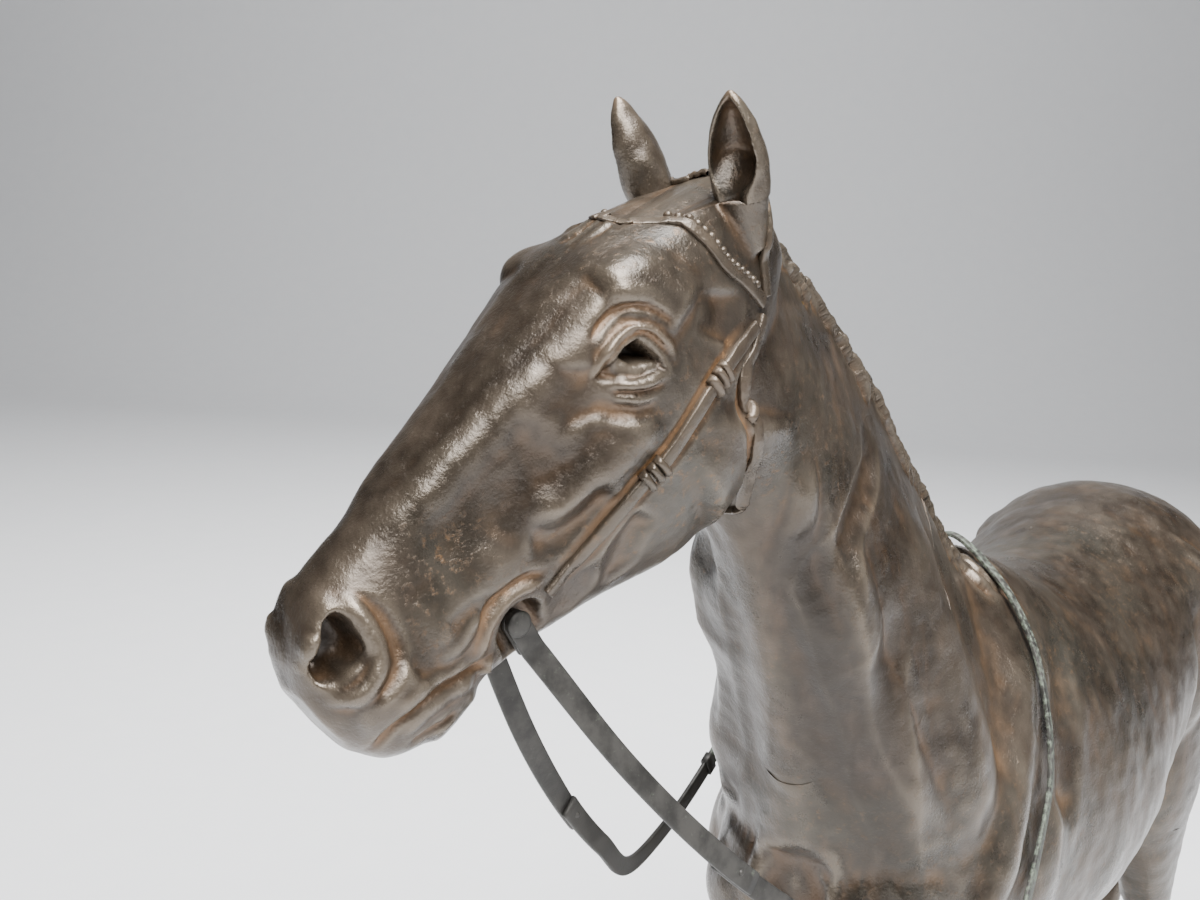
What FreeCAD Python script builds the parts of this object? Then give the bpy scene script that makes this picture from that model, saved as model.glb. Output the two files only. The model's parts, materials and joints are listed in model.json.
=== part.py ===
import FreeCAD, Part
import math
import os

from FreeCAD import Vector as V

# A standing bronze horse with a bridle and a bent-strip rein.
# Millimetres. +X towards the head, +Y towards the horse's left, +Z up, hooves on z = 0.

# ---- driving dimensions ----
WITHERS = 270.0          # height of the withers above the ground
HEAD = 108.0             # length of the head, poll to upper lip
HEAD_YAW = -14.8         # the head turns to the horse's right
HEAD_PITCH = 41.6        # the face slopes down from the poll
WALL = 3.2               # casting wall of the hollow trunk and neck
SKULL_WALL = 3.0         # casting wall of the hollow skull
EAR_WALL = 1.0
EAR_LENGTH = 21.0

STRAP_WIDTH = 3.2        # bridle straps
STRAP_THICK = 0.9
BUCKLE_PROUD = 1.5       # how far buckles and keepers stand off the head
BUCKLE_LENGTH = 3.4
KEEPER_LENGTH = 1.6

BIT_RADIUS = 1.5         # bar across the mouth
BIT_HEAD_RADIUS = 2.3    # peened ends that keep the reins on the bar
BIT_HEAD_THICK = 0.7
BIT_CLEARANCE = 0.05     # running fit between bar and rein
MOUTH_HOLE_RADIUS = 4.4  # recess in each mouth corner
REIN_WIDTH = 4.4
REIN_THICK = 1.1
REIN_LAP = 6.0           # length of the doubled end at the bit
REIN_ROOM = 1.8          # play on each edge of the rein where it leaves the mouth
REIN_KEEPER_LENGTH = 3.0
REIN_KEEPER_THICK = 0.5
LAP_GAP = 0.18           # film of solder in each rein's lap
RIVET_RADIUS = 0.7
BIT_SEAT = 6.6           # rein's middle, sideways from the head's mid-plane
RECESS_FLOOR = 4.4       # depth of the mouth recess, from the mid-plane

BUCKLE_SIDE = 0.6        # how far buckles and keepers reach past each edge of a strap
EYE_SOCKET = 5.2         # radius of the hollow of the eye
NOSTRIL_SOCKET = 3.4

TENON_RADIUS = 5.5       # leg tenons and their cross pins
TENON_LENGTH = 11.0
TENON_CLEARANCE = 0.05
LEG_PIN_RADIUS = 1.5
LEG_PIN_DEPTH = 2.0      # how far a cross pin runs on past the tenon
TAIL_TENON_RADIUS = 4.0
TAIL_TENON_LENGTH = 9.0
SEAM_PIN_RADIUS = 0.8    # dowels in the neck seams
SEAM_PIN_LENGTH = 5.0

FORE_SPREAD = 25.0       # half the distance between the forelegs
HIND_SPREAD = 24.0       # half the distance between the hind legs
HIND_STAGGER = 14.0      # the left hind foot stands behind the right one

# ---- proportions: shares of the height at the withers unless a note says otherwise ----
ORIGIN_X = 0.185         # from mid-trunk to the middle of the whole statue
LOOP = 16                # points on each section

# x, top, bottom, half width, egg (positive is narrower on top)
TRUNK = [(-0.512, 0.850, 0.770, 0.035, 0.0), (-0.495, 0.885, 0.700, 0.090, 0.0),
         (-0.455, 0.925, 0.640, 0.130, -0.05), (-0.380, 0.968, 0.605, 0.160, -0.10),
         (-0.280, 0.990, 0.600, 0.168, -0.10), (-0.180, 0.972, 0.605, 0.162, -0.02),
         (-0.080, 0.948, 0.575, 0.165, 0.10), (0.000, 0.938, 0.545, 0.171, 0.12),
         (0.100, 0.948, 0.532, 0.166, 0.15), (0.200, 0.985, 0.537, 0.146, 0.22),
         (0.280, 0.985, 0.550, 0.135, 0.20), (0.370, 0.940, 0.565, 0.134, 0.10),
         (0.440, 0.870, 0.590, 0.127, 0.05), (0.490, 0.805, 0.630, 0.099, 0.0),
         (0.510, 0.760, 0.665, 0.046, 0.0)]

# crest x, z, throat x, z, half width, sideways shift, share of the head's yaw
NECK = [(0.205, 0.955, 0.400, 0.620, 0.110, 0.000, 0.00),
        (0.268, 0.998, 0.490, 0.720, 0.108, 0.000, 0.05),
        (0.357, 1.070, 0.540, 0.845, 0.084, 0.000, 0.15),
        (0.442, 1.146, 0.583, 0.935, 0.067, -0.002, 0.35),
        (0.519, 1.208, 0.622, 1.015, 0.057, -0.006, 0.60),
        (0.590, 1.256, 0.658, 1.085, 0.052, -0.011, 0.80),
        (0.656, 1.292, 0.700, 1.130, 0.050, -0.016, 0.95),
        (0.715, 1.306, 0.745, 1.170, 0.047, -0.020, 1.00)]
NECK_EGG = 0.45
NECK_SEAM = 2            # the neck section that lies on the seam with the trunk
HEAD_SEAM = 5            # and the one on the seam with the head
POLL = (0.723, -0.0185, 1.314)

# shares of HEAD in the head's own frame: along the face, top, bottom, half width, egg
SKULL = [(-0.060, -0.050, -0.270, 0.080, -0.10), (0.020, -0.002, -0.330, 0.112, -0.10),
         (0.100, 0.022, -0.385, 0.132, -0.15), (0.180, 0.036, -0.445, 0.148, -0.20),
         (0.280, 0.050, -0.492, 0.160, -0.22), (0.370, 0.042, -0.500, 0.154, -0.22),
         (0.460, 0.028, -0.472, 0.138, -0.20), (0.560, 0.014, -0.425, 0.114, -0.15),
         (0.660, 0.002, -0.390, 0.102, -0.10), (0.750, -0.010, -0.365, 0.096, -0.05),
         (0.830, -0.022, -0.355, 0.102, 0.0), (0.905, -0.036, -0.352, 0.108, 0.0),
         (0.965, -0.072, -0.320, 0.092, 0.0), (1.000, -0.125, -0.260, 0.055, 0.0)]
SKULL_BOX = 0.7          # under 1 flattens the top of the face and keeps its edges wide
SKULL_HOLLOW = (0, 7)    # the skull sections that the core runs through
BIT_HOLE = (0.699, -0.306)   # along, up
NOSTRIL = (0.905, 0.100, -0.105)
EYE = (0.327, 0.158, -0.085)
# along and up shares of the straps' ends on the head
JUNCTION = (0.060, -0.215)
BROW_TOP = (0.090, -0.040)
BROW_OVER = (0.130, 0.100)
CHEEK_END = (0.645, -0.300)
POLL_FOOT = (0.035, -0.205)
POLL_TOP = (-0.115, 0.060)
THROAT_LOW = (0.240, -0.600)
CHEEK_BUCKLE = 0.56      # places along a strap, as shares of its length
CHEEK_KEEPERS = (0.26, 0.31)
THROAT_BUCKLE = 0.42
EAR_BASE = (0.000, 0.106, -0.075)
EAR_DIRECTION = (-0.32, 0.16, 1.0)
EAR_FACING = (-0.6, 0.8)     # along and left parts of the line across an ear
EAR_SEAT = 0.12              # share of the ear's length where it stands on its root
# share of the ear's length, then half width and half depth as shares of it too
EAR = [(-0.35, 0.17, 0.16), (0.0, 0.21, 0.19), (0.3, 0.26, 0.19), (0.55, 0.25, 0.15),
       (0.8, 0.16, 0.09), (0.97, 0.035, 0.035)]
EAR_CUP = (0.0, 0.9)         # the shares that the hollow of the cup runs between
EAR_CUP_OUT = 0.75           # how far ahead of the ear's middle the cup's middle lies

# z, x, half depth, half width
FORELEG = [(0.720, 0.320, 0.075, 0.018), (0.640, 0.304, 0.070, 0.036),
           (0.560, 0.298, 0.062, 0.044),
           (0.500, 0.306, 0.053, 0.042), (0.430, 0.314, 0.040, 0.032),
           (0.370, 0.320, 0.033, 0.027), (0.325, 0.322, 0.031, 0.028),
           (0.290, 0.325, 0.034, 0.031), (0.250, 0.322, 0.028, 0.026),
           (0.200, 0.320, 0.021, 0.018), (0.130, 0.318, 0.020, 0.017),
           (0.095, 0.318, 0.027, 0.023), (0.067, 0.328, 0.021, 0.019),
           (0.048, 0.337, 0.025, 0.024), (0.030, 0.344, 0.030, 0.028),
           (0.012, 0.350, 0.034, 0.031), (0.000, 0.353, 0.035, 0.032)]
HIND_LEG = [(0.780, -0.360, 0.115, 0.055), (0.680, -0.350, 0.112, 0.062),
            (0.600, -0.340, 0.092, 0.058), (0.550, -0.350, 0.077, 0.050),
            (0.480, -0.378, 0.057, 0.040), (0.410, -0.405, 0.043, 0.031),
            (0.355, -0.424, 0.037, 0.026), (0.310, -0.428, 0.037, 0.027),
            (0.270, -0.420, 0.032, 0.024), (0.220, -0.412, 0.025, 0.020),
            (0.140, -0.405, 0.023, 0.019), (0.100, -0.402, 0.029, 0.024),
            (0.070, -0.388, 0.022, 0.019), (0.045, -0.377, 0.027, 0.026),
            (0.000, -0.366, 0.038, 0.035)]
FORE_JOINT = 0.500       # heights of the flat leg joints
HIND_JOINT = 0.550
STAGGER_FROM = 0.48      # the leg leans back below this height

# x, z, half depth, half width of the tail, from the dock down
TAIL = [(-0.470, 0.900, 0.030, 0.032), (-0.520, 0.885, 0.026, 0.030),
        (-0.556, 0.840, 0.025, 0.032), (-0.568, 0.760, 0.028, 0.037),
        (-0.562, 0.640, 0.032, 0.042), (-0.556, 0.500, 0.030, 0.040),
        (-0.556, 0.360, 0.022, 0.029), (-0.560, 0.250, 0.008, 0.012)]
TAIL_SEAT = 1            # the tail section that lies on its flat dock

# the rein beyond the bit: a bend that the front run aims at, then points round to the withers
LEFT_REIN_BEND = (0.733, 0.052, 0.844)
LEFT_REIN = [(0.567, 0.104, 0.748), (0.489, 0.141, 0.704), (0.426, 0.152, 0.681),
             (0.374, 0.152, 0.683), (0.341, 0.148, 0.711), (0.315, 0.146, 0.752),
             (0.280, 0.139, 0.811), (0.258, 0.121, 0.869), (0.244, 0.098, 0.919),
             (0.241, 0.066, 0.965), (0.233, 0.030, 0.993)]
RIGHT_REIN_BEND = (0.759, -0.059, 0.854)
RIGHT_REIN = [(0.556, -0.133, 0.737), (0.496, -0.146, 0.737), (0.430, -0.157, 0.752),
              (0.363, -0.160, 0.793), (0.319, -0.150, 0.856), (0.281, -0.118, 0.919),
              (0.252, -0.069, 0.967), (0.233, -0.030, 0.993)]
CROWN_TOP = (0.231, 0.0, 1.002)
REIN_STATIONS = 29       # sections along each rein
LAP_STATION = 7          # the station of each rein where its front strip ends in a lap
KEEPER_SHARE = 0.62      # how far round each rein its keeper sits
LEAN_FROM = 0.86         # height from which a rein turns its outer face up
CROWN_LEAN = 80.0        # degrees that it has turned by at the withers
BEND_POINTS = 5          # points of the bend that each rein's front run makes
CROWN_STATIONS = 9
CROWN_SWELL = 0.5        # how much the crown's faces look up at its top
PIN_ANGLES = (40, 130, 230, 320)   # places of the seam dowels round the neck


# ---- geometry helpers ----
def at(x, y, z):
    """A point given in shares of the withers height, in the statue's frame."""
    return V((x - ORIGIN_X) * WITHERS, y * WITHERS, z * WITHERS)


def head_frame():
    yaw, pitch = math.radians(HEAD_YAW), math.radians(HEAD_PITCH)
    along = V(math.cos(yaw) * math.cos(pitch), math.sin(yaw) * math.cos(pitch), -math.sin(pitch))
    left = V(-math.sin(yaw), math.cos(yaw), 0)
    return along, left, along.cross(left)


ALONG, LEFT, UP = head_frame()


def in_head(x, y, z):
    """A point given in shares of the head's length, from the poll."""
    return at(*POLL) + (ALONG * x + LEFT * y + UP * z) * HEAD


def closed_wire(points):
    curve = Part.BSplineCurve()
    curve.interpolate(points, PeriodicFlag=True)
    return Part.Wire(curve.toShape())


def egg(centre, up, side, narrow=0.0, box=1.0):
    """A closed section. up and side are half axes; narrow pinches the upper end, and a box
    under 1 squares it."""
    points = []
    for i in range(LOOP):
        angle = 2 * math.pi * i / LOOP
        rise, out = math.cos(angle), math.sin(angle)
        if rise > 0:
            out = math.copysign(abs(out) ** box, out)
        points.append(centre + up * rise + side * (out * (1 - narrow * rise)))
    return closed_wire(points)


def loft(wires):
    solid = Part.makeLoft(wires, True, False)
    if solid.Volume < 0:
        solid.reverse()
    return solid


def fused(solids):
    return solids[0].multiFuse(solids[1:])


def largest(shape):
    return max(shape.Solids, key=lambda s: s.Volume)


def cylinder(start, direction, radius, length):
    return Part.makeCylinder(radius, length, start, direction)


def plane_block(point, normal, reach):
    """A block that fills the side of a plane that its normal points to."""
    block = Part.makeBox(2 * reach, 2 * reach, reach, V(-reach, -reach, 0))
    turn = FreeCAD.Rotation(V(0, 0, 1), normal)
    block.Placement = FreeCAD.Placement(point, turn)
    return block


# ---- castings ----
def trunk(inset=0.0):
    wires = []
    rows = TRUNK[2:-2] if inset else TRUNK
    for x, top, bottom, width, narrow in rows:
        half = (top - bottom) / 2 * WITHERS - inset
        wires.append(egg(at(x, 0, (top + bottom) / 2), V(0, 0, half),
                         V(0, width * WITHERS - inset, 0), narrow))
    return loft(wires)


def neck_section(row, grow=0.0):
    cx, cz, tx, tz, width, shift, share = row
    crest, throat = at(cx, shift, cz), at(tx, shift, tz)
    half = (crest - throat) * 0.5
    yaw = math.radians(HEAD_YAW * share)
    side = V(-math.sin(yaw), math.cos(yaw), 0)
    up = half.normalize() * ((crest - throat).Length / 2 + grow)
    return (crest + throat) * 0.5, up, side * (width * WITHERS + grow)


def neck(grow=0.0):
    return loft([egg(*neck_section(row, grow), NECK_EGG) for row in NECK])


def skull(grow=0.0, rows=None):
    wires = []
    for x, top, bottom, width, narrow in rows or SKULL:
        half = (top - bottom) / 2 * HEAD + grow
        wires.append(egg(in_head(x, 0, (top + bottom) / 2), UP * half,
                         LEFT * (width * HEAD + grow), narrow, SKULL_BOX))
    return loft(wires)


def leg(rows, spread, stagger=0.0):
    wires = []
    for z, x, deep, wide in rows:
        lean = stagger * max(0.0, STAGGER_FROM - z) / STAGGER_FROM
        centre = at(x, 0, z) + V(-lean, spread, 0)
        wires.append(egg(centre, V(deep * WITHERS, 0, 0), V(0, wide * WITHERS, 0)))
    return loft(wires)


def ear(side):
    """The whole ear, with its root inside the head, and the hollow of its cup."""
    base = in_head(EAR_BASE[0], side * EAR_BASE[1], EAR_BASE[2])
    rise = (ALONG * EAR_DIRECTION[0] + LEFT * side * EAR_DIRECTION[1] + UP).normalize()
    across = (LEFT * EAR_FACING[1] + ALONG * EAR_FACING[0] * side).normalize()
    across = (across - rise * across.dot(rise)).normalize()
    front = across.cross(rise)
    front = front if front.dot(ALONG) > 0 else front * -1
    outer, inner = [], []
    for share, wide, deep in EAR:
        centre = base + rise * (share * EAR_LENGTH)
        outer.append(egg(centre, front * deep * EAR_LENGTH, across * wide * EAR_LENGTH))
        if EAR_CUP[0] <= share < EAR_CUP[1]:
            cup = centre + front * (deep * EAR_LENGTH * EAR_CUP_OUT)
            inner.append(egg(cup, front * deep * EAR_LENGTH,
                             across * (wide * EAR_LENGTH - EAR_WALL)))
    return loft(outer), loft(inner), base + rise * (EAR_SEAT * EAR_LENGTH), rise


def section_normal(row):
    _, up, side = neck_section(row)
    normal = side.cross(up).normalize()
    return normal if normal.x > 0 else normal * -1


def seam_pins(row, angles):
    """Dowels that cross a seam in the middle of the neck's wall."""
    centre, up, side = neck_section(row, -WALL / 2)
    normal = section_normal(row)
    pins = []
    for degrees in angles:
        rise, out = math.cos(math.radians(degrees)), math.sin(math.radians(degrees))
        point = centre + up * rise + side * (out * (1 - NECK_EGG * rise))
        pins.append(cylinder(point - normal * (SEAM_PIN_LENGTH / 2), normal,
                             SEAM_PIN_RADIUS, SEAM_PIN_LENGTH))
    return pins


def head_box(start, end, width, sides, over=0.0):
    """A straight band in the head's frame, from start to end in (along, up) shares."""
    a, b = in_head(start[0], 0, start[1]), in_head(end[0], 0, end[1])
    run = (b - a).normalize()
    across = LEFT.cross(run)
    low, high = sides
    box = Part.makeBox((b - a).Length + 2 * over, width, high - low)
    corner = a - run * over - across * (width / 2) + LEFT * low
    turn = FreeCAD.Matrix(run.x, across.x, LEFT.x, corner.x, run.y, across.y, LEFT.y, corner.y,
                          run.z, across.z, LEFT.z, corner.z, 0, 0, 0, 1)
    if turn.determinant() < 0:
        raise ValueError("the band's frame is left-handed")
    box.Placement = FreeCAD.Placement(turn)
    return box


def bezier(a, b, c, count):
    return [a * (1 - t) ** 2 + b * (2 * t * (1 - t)) + c * t ** 2
            for t in [i / (count - 1) for i in range(count)]]


def spline_through(points, count):
    curve = Part.BSplineCurve()
    curve.interpolate(points)
    return curve.discretize(Number=count)


def tangents_of(points):
    last = len(points) - 1
    return [(points[min(i + 1, last)] - points[max(i - 1, 0)]).normalize()
            for i in range(len(points))]


def strip(points, faces, tangents=None, width=REIN_WIDTH, thick=REIN_THICK):
    """A flat strip through points; faces are the directions its outer side looks to."""
    wires = []
    for point, face, tangent in zip(points, faces, tangents or tangents_of(points)):
        across = tangent.cross(face).normalize() * (width / 2)
        out = across.cross(tangent).normalize() * (thick / 2)
        corners = [point + across + out, point - across + out,
                   point - across - out, point + across - out]
        wires.append(Part.makePolygon(corners + corners[:1]))
    return loft(wires)


def rein_side(side, bend, rows):
    """Stations of one rein, from the end of its doubled tab up to the crown."""
    bit = bit_point(side)
    tab = rein_tab_direction(side, bend)
    start = bit + tab * REIN_LAP
    front = bezier(start, at(*bend), at(*rows[0]), BEND_POINTS)
    points = spline_through(front[:-1] + [at(*row) for row in rows], REIN_STATIONS)
    faces = []
    for i, point in enumerate(points):
        turned = min(1.0, i / LAP_STATION)
        climbed = (point.z / WITHERS - LEAN_FROM) / (CROWN_TOP[2] - LEAN_FROM)
        rise = min(1.0, max(0.0, climbed)) * math.radians(CROWN_LEAN)
        outward = V(0, side * math.cos(rise), math.sin(rise))
        faces.append((LEFT * side * (1 - turned) + outward * turned).normalize())
    return points, faces


def bit_point(side):
    return in_head(BIT_HOLE[0], 0, BIT_HOLE[1]) + LEFT * side * BIT_SEAT


def rein_tab_direction(side, bend):
    way = at(*bend) - bit_point(side)
    return (way - LEFT * way.dot(LEFT)).normalize()


# ---- build ----
nodes = {}
reach = 3 * WITHERS
neck_all = neck()
trunk_seam = neck_section(NECK[NECK_SEAM])[0], section_normal(NECK[NECK_SEAM])
head_seam = neck_section(NECK[HEAD_SEAM])[0], section_normal(NECK[HEAD_SEAM])
ahead_of_trunk = plane_block(*trunk_seam, reach)
ahead_of_neck = plane_block(*head_seam, reach)
skull_all = skull()
hollow = fused([trunk(WALL), neck(-WALL), skull(-SKULL_WALL, SKULL[slice(*SKULL_HOLLOW)])])

# legs: the upper part belongs to the trunk, and a tenon and a pin hold the lower part
legs = {
    "left_foreleg": (FORELEG, FORE_SPREAD, 0.0, FORE_JOINT),
    "right_foreleg": (FORELEG, -FORE_SPREAD, 0.0, FORE_JOINT),
    "left_hind_leg": (HIND_LEG, HIND_SPREAD, HIND_STAGGER, HIND_JOINT),
    "right_hind_leg": (HIND_LEG, -HIND_SPREAD, 0.0, HIND_JOINT),
}
stumps, sockets, leg_pins = [], [], []
for name, (rows, spread, stagger, joint) in legs.items():
    whole = leg(rows, spread, stagger)
    joint_x = next(x for z, x, _, _ in rows if z == joint)
    middle = at(joint_x, 0, joint) + V(0, spread, 0)
    above = plane_block(middle, V(0, 0, 1), reach)
    stumps.append(whole.common(above))
    tenon = cylinder(middle - V(0, 0, 1), V(0, 0, 1), TENON_RADIUS, TENON_LENGTH + 1)
    side = 1 if spread > 0 else -1
    pin = cylinder(middle + V(0, -side * TENON_RADIUS, TENON_LENGTH / 2), V(0, side, 0),
                   LEG_PIN_RADIUS, TENON_RADIUS * 2 + LEG_PIN_DEPTH)
    sockets.append(cylinder(middle, V(0, 0, 1), TENON_RADIUS + TENON_CLEARANCE,
                            TENON_LENGTH + TENON_CLEARANCE))
    sockets.append(pin)
    leg_pins.append(pin)
    nodes[name] = largest(whole.cut(above)).fuse(tenon).cut(pin)
nodes["leg_pins"] = Part.makeCompound(leg_pins)

# the tail sits on a flat dock with a tenon
tail_wires = []
for i, (x, z, deep, wide) in enumerate(TAIL):
    before, after = TAIL[max(i - 1, 0)], TAIL[min(i + 1, len(TAIL) - 1)]
    down = (at(after[0], 0, after[1]) - at(before[0], 0, before[1])).normalize()
    across_tail = down.cross(V(0, 1, 0))
    tail_wires.append(egg(at(x, 0, z), across_tail * deep * WITHERS, V(0, wide * WITHERS, 0)))
tail_all = loft(tail_wires)
dock, root = (at(TAIL[i][0], 0, TAIL[i][1]) for i in (TAIL_SEAT, 0))
dock_down = (dock - root).normalize()
behind_dock = plane_block(dock, dock_down, reach)
tail_tenon = cylinder(dock + dock_down, dock_down * -1, TAIL_TENON_RADIUS, TAIL_TENON_LENGTH + 1)
tail_socket = cylinder(dock, dock_down * -1, TAIL_TENON_RADIUS + TENON_CLEARANCE,
                       TAIL_TENON_LENGTH + TENON_CLEARANCE)
nodes["tail"] = tail_all.common(behind_dock).fuse(tail_tenon)

# trunk, neck and head castings, met at flat seams
trunk_pins = seam_pins(NECK[NECK_SEAM], PIN_ANGLES)
head_pins = seam_pins(NECK[HEAD_SEAM], PIN_ANGLES)
neck_root = neck_all.cut(ahead_of_trunk)
dock_root = tail_all.cut(behind_dock)
body = fused([trunk(), neck_root, dock_root] + stumps).cut(hollow)
dock_boss = cylinder(dock, dock_down * -1, TAIL_TENON_RADIUS + WALL, TAIL_TENON_LENGTH + WALL)
body = body.fuse(dock_boss.common(fused([trunk(), dock_root])))
nodes["body_casting"] = largest(body.cut(fused(sockets + [tail_socket] + trunk_pins)))
neck_casting = neck_all.common(ahead_of_trunk).cut(ahead_of_neck).cut(hollow)
nodes["neck_casting"] = largest(neck_casting.cut(fused(trunk_pins + head_pins)))
nodes["neck_dowels"] = Part.makeCompound(trunk_pins)
nodes["head_dowels"] = Part.makeCompound(head_pins)

neck_top = neck_all.common(ahead_of_neck)
head = skull_all.fuse(neck_top)
grown_head = {grow: skull(grow).fuse(neck(grow).common(ahead_of_neck))
              for grow in (STRAP_THICK, BUCKLE_PROUD)}
ear_roots, ears_above = [], []
for name, side in (("left_ear", 1), ("right_ear", -1)):
    outer, cup, seat, rise = ear(side)
    above = plane_block(seat, rise, reach)
    standing = largest(outer.common(above))
    nodes[name] = largest(standing.cut(cup))
    ears_above.append(standing)
    ear_roots.append(outer.cut(above))
head = fused([head] + ear_roots)
solid_head = head
head = head.cut(hollow).cut(fused(ears_above))
for side in (1, -1):
    eye = Part.makeSphere(EYE_SOCKET)
    eye.Placement.Base = in_head(EYE[0], side * EYE[1], EYE[2])
    nostril = Part.makeSphere(NOSTRIL_SOCKET)
    nostril.Placement.Base = in_head(NOSTRIL[0], side * NOSTRIL[1], NOSTRIL[2])
    hole = in_head(BIT_HOLE[0], 0, BIT_HOLE[1]) + LEFT * side * RECESS_FLOOR
    recess = cylinder(hole, LEFT * side, MOUTH_HOLE_RADIUS, HEAD / 2)
    way = rein_tab_direction(side, LEFT_REIN_BEND if side > 0 else RIGHT_REIN_BEND)
    edge = LEFT.cross(way) * (REIN_WIDTH / 2 + REIN_ROOM)
    corners = [hole + edge, hole - edge, hole - edge + way * HEAD / 4, hole + edge + way * HEAD / 4]
    slot = Part.Face(Part.makePolygon(corners + corners[:1])).extrude(LEFT * side * HEAD / 4)
    head = head.cut(fused([eye, nostril, recess, slot]))
bit_half = BIT_SEAT + REIN_THICK / 2 + BIT_CLEARANCE
bit_middle = in_head(BIT_HOLE[0], 0, BIT_HOLE[1])
bar = cylinder(bit_middle - LEFT * bit_half, LEFT, BIT_RADIUS, 2 * bit_half)
peened = [cylinder(bit_middle + LEFT * side * bit_half, LEFT * side, BIT_HEAD_RADIUS,
                   BIT_HEAD_THICK) for side in (1, -1)]
nodes["bit_bar"] = fused([bar] + peened)
nodes["head_casting"] = largest(head.cut(fused([bar] + head_pins)))

# bridle straps lie on the head
shell = grown_head[STRAP_THICK].cut(solid_head)
buckle_shell = grown_head[BUCKLE_PROUD].cut(solid_head)
both, left_side, right_side = (-HEAD, HEAD), (0, HEAD), (-HEAD, 0)
taken = []


def strap(name, box):
    piece = shell.common(box)
    for other in taken:
        piece = piece.cut(other)
    taken.append(piece)
    nodes[name] = largest(piece)


def over_strap(name, start, end, share, length, sides):
    """A buckle or keeper that wraps a strap, at a share of the way along it."""
    a, b = V(*start, 0), V(*end, 0)
    middle, step = a + (b - a) * share, (b - a).normalize() * (length / 2 / HEAD)
    box = head_box(middle - step, middle + step, STRAP_WIDTH + 2 * BUCKLE_SIDE, sides)
    return largest(buckle_shell.common(box).cut(nodes[name]))


strap("browband", head_box(JUNCTION, BROW_TOP, STRAP_WIDTH, both, STRAP_WIDTH / 2)
      .fuse(head_box(BROW_TOP, BROW_OVER, STRAP_WIDTH, both)))
strap("left_cheekpiece", head_box(JUNCTION, CHEEK_END, STRAP_WIDTH, left_side))
strap("right_cheekpiece", head_box(JUNCTION, CHEEK_END, STRAP_WIDTH, right_side))
strap("headpiece", head_box(POLL_FOOT, POLL_TOP, STRAP_WIDTH, both))
strap("throatlatch", head_box(JUNCTION, THROAT_LOW, STRAP_WIDTH, both))

for side_name, sides in (("left", left_side), ("right", right_side)):
    cheek, throat = side_name + "_cheekpiece", "throatlatch"
    nodes[side_name + "_cheek_buckle"] = over_strap(
        cheek, JUNCTION, CHEEK_END, CHEEK_BUCKLE, BUCKLE_LENGTH, sides)
    nodes[side_name + "_cheek_keepers"] = Part.makeCompound(
        [over_strap(cheek, JUNCTION, CHEEK_END, share, KEEPER_LENGTH, sides)
         for share in CHEEK_KEEPERS])
    nodes[side_name + "_throat_buckle"] = over_strap(
        throat, JUNCTION, THROAT_LOW, THROAT_BUCKLE, BUCKLE_LENGTH, sides)

# reins: on each side a tab doubled over the bit bar, a front strip that ends in a riveted lap,
# and a middle and a rear strip that meet inside a keeper
ends = {}
for name, side, bend, rows in (("left", 1, LEFT_REIN_BEND, LEFT_REIN),
                               ("right", -1, RIGHT_REIN_BEND, RIGHT_REIN)):
    points, faces = rein_side(side, bend, rows)
    bit, tab = bit_point(side), rein_tab_direction(side, bend)
    out = LEFT * side
    eye_bore = cylinder(bit - out * REIN_WIDTH, out, BIT_RADIUS + BIT_CLEARANCE, 2 * REIN_WIDTH)
    tab_plate = strip([bit, bit + tab * REIN_LAP], [out, out])
    tab_round = cylinder(bit - out * REIN_THICK / 2, out, REIN_WIDTH / 2, REIN_THICK)
    front_run = strip(points[:LAP_STATION + 1], faces[:LAP_STATION + 1],
                      tangents_of(points)[:LAP_STATION + 1])
    front = fused([tab_plate, tab_round, front_run]).cut(eye_bore)
    inner = out * REIN_THICK
    fold_plate = strip([bit - inner, bit - inner + tab * REIN_LAP], [out, out])
    fold_round = cylinder(bit - out * REIN_THICK * 1.5, out, REIN_WIDTH / 2, REIN_THICK)
    nodes[name + "_rein_fold"] = fold_plate.fuse(fold_round).cut(eye_bore)

    # past the lap the rein runs one thickness further in
    drop = REIN_THICK + LAP_GAP
    points = [p - face * drop for p, face in zip(points, faces)]
    joint = round(KEEPER_SHARE * len(points))
    tangents = tangents_of(points)
    span = slice(LAP_STATION - 1, joint + 1)
    middle = strip(points[span], faces[span], tangents[span])
    lap = (points[LAP_STATION - 1] + points[LAP_STATION]) * 0.5
    lap_face = faces[LAP_STATION]
    rivet = cylinder(lap - lap_face * REIN_THICK, lap_face, RIVET_RADIUS, 3.2 * REIN_THICK)
    nodes[name + "_rein_front"] = front.cut(rivet)
    nodes[name + "_rein_middle"] = middle.cut(rivet)
    nodes[name + "_rein_rivet"] = rivet
    rear = strip(points[joint:], faces[joint:], tangents[joint:])
    nodes[name + "_rein_rear"] = rear
    around, around_faces = points[joint - 1:joint + 2], faces[joint - 1:joint + 2]
    band = strip(around, around_faces, tangents[joint - 1:joint + 2],
                 REIN_WIDTH + 2 * REIN_KEEPER_THICK, REIN_THICK + 2 * REIN_KEEPER_THICK)
    ahead = (points[joint + 1] - points[joint - 1]).normalize()
    slice_box = plane_block(points[joint] - ahead * REIN_KEEPER_LENGTH / 2, ahead, HEAD)
    slice_box = slice_box.cut(plane_block(points[joint] + ahead * REIN_KEEPER_LENGTH / 2,
                                          ahead, HEAD))
    nodes[name + "_rein_keeper"] = largest(band.common(slice_box).cut(fused([middle, rear])))
    ends[name] = points[-1], faces[-1], tangents[-1]

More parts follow.
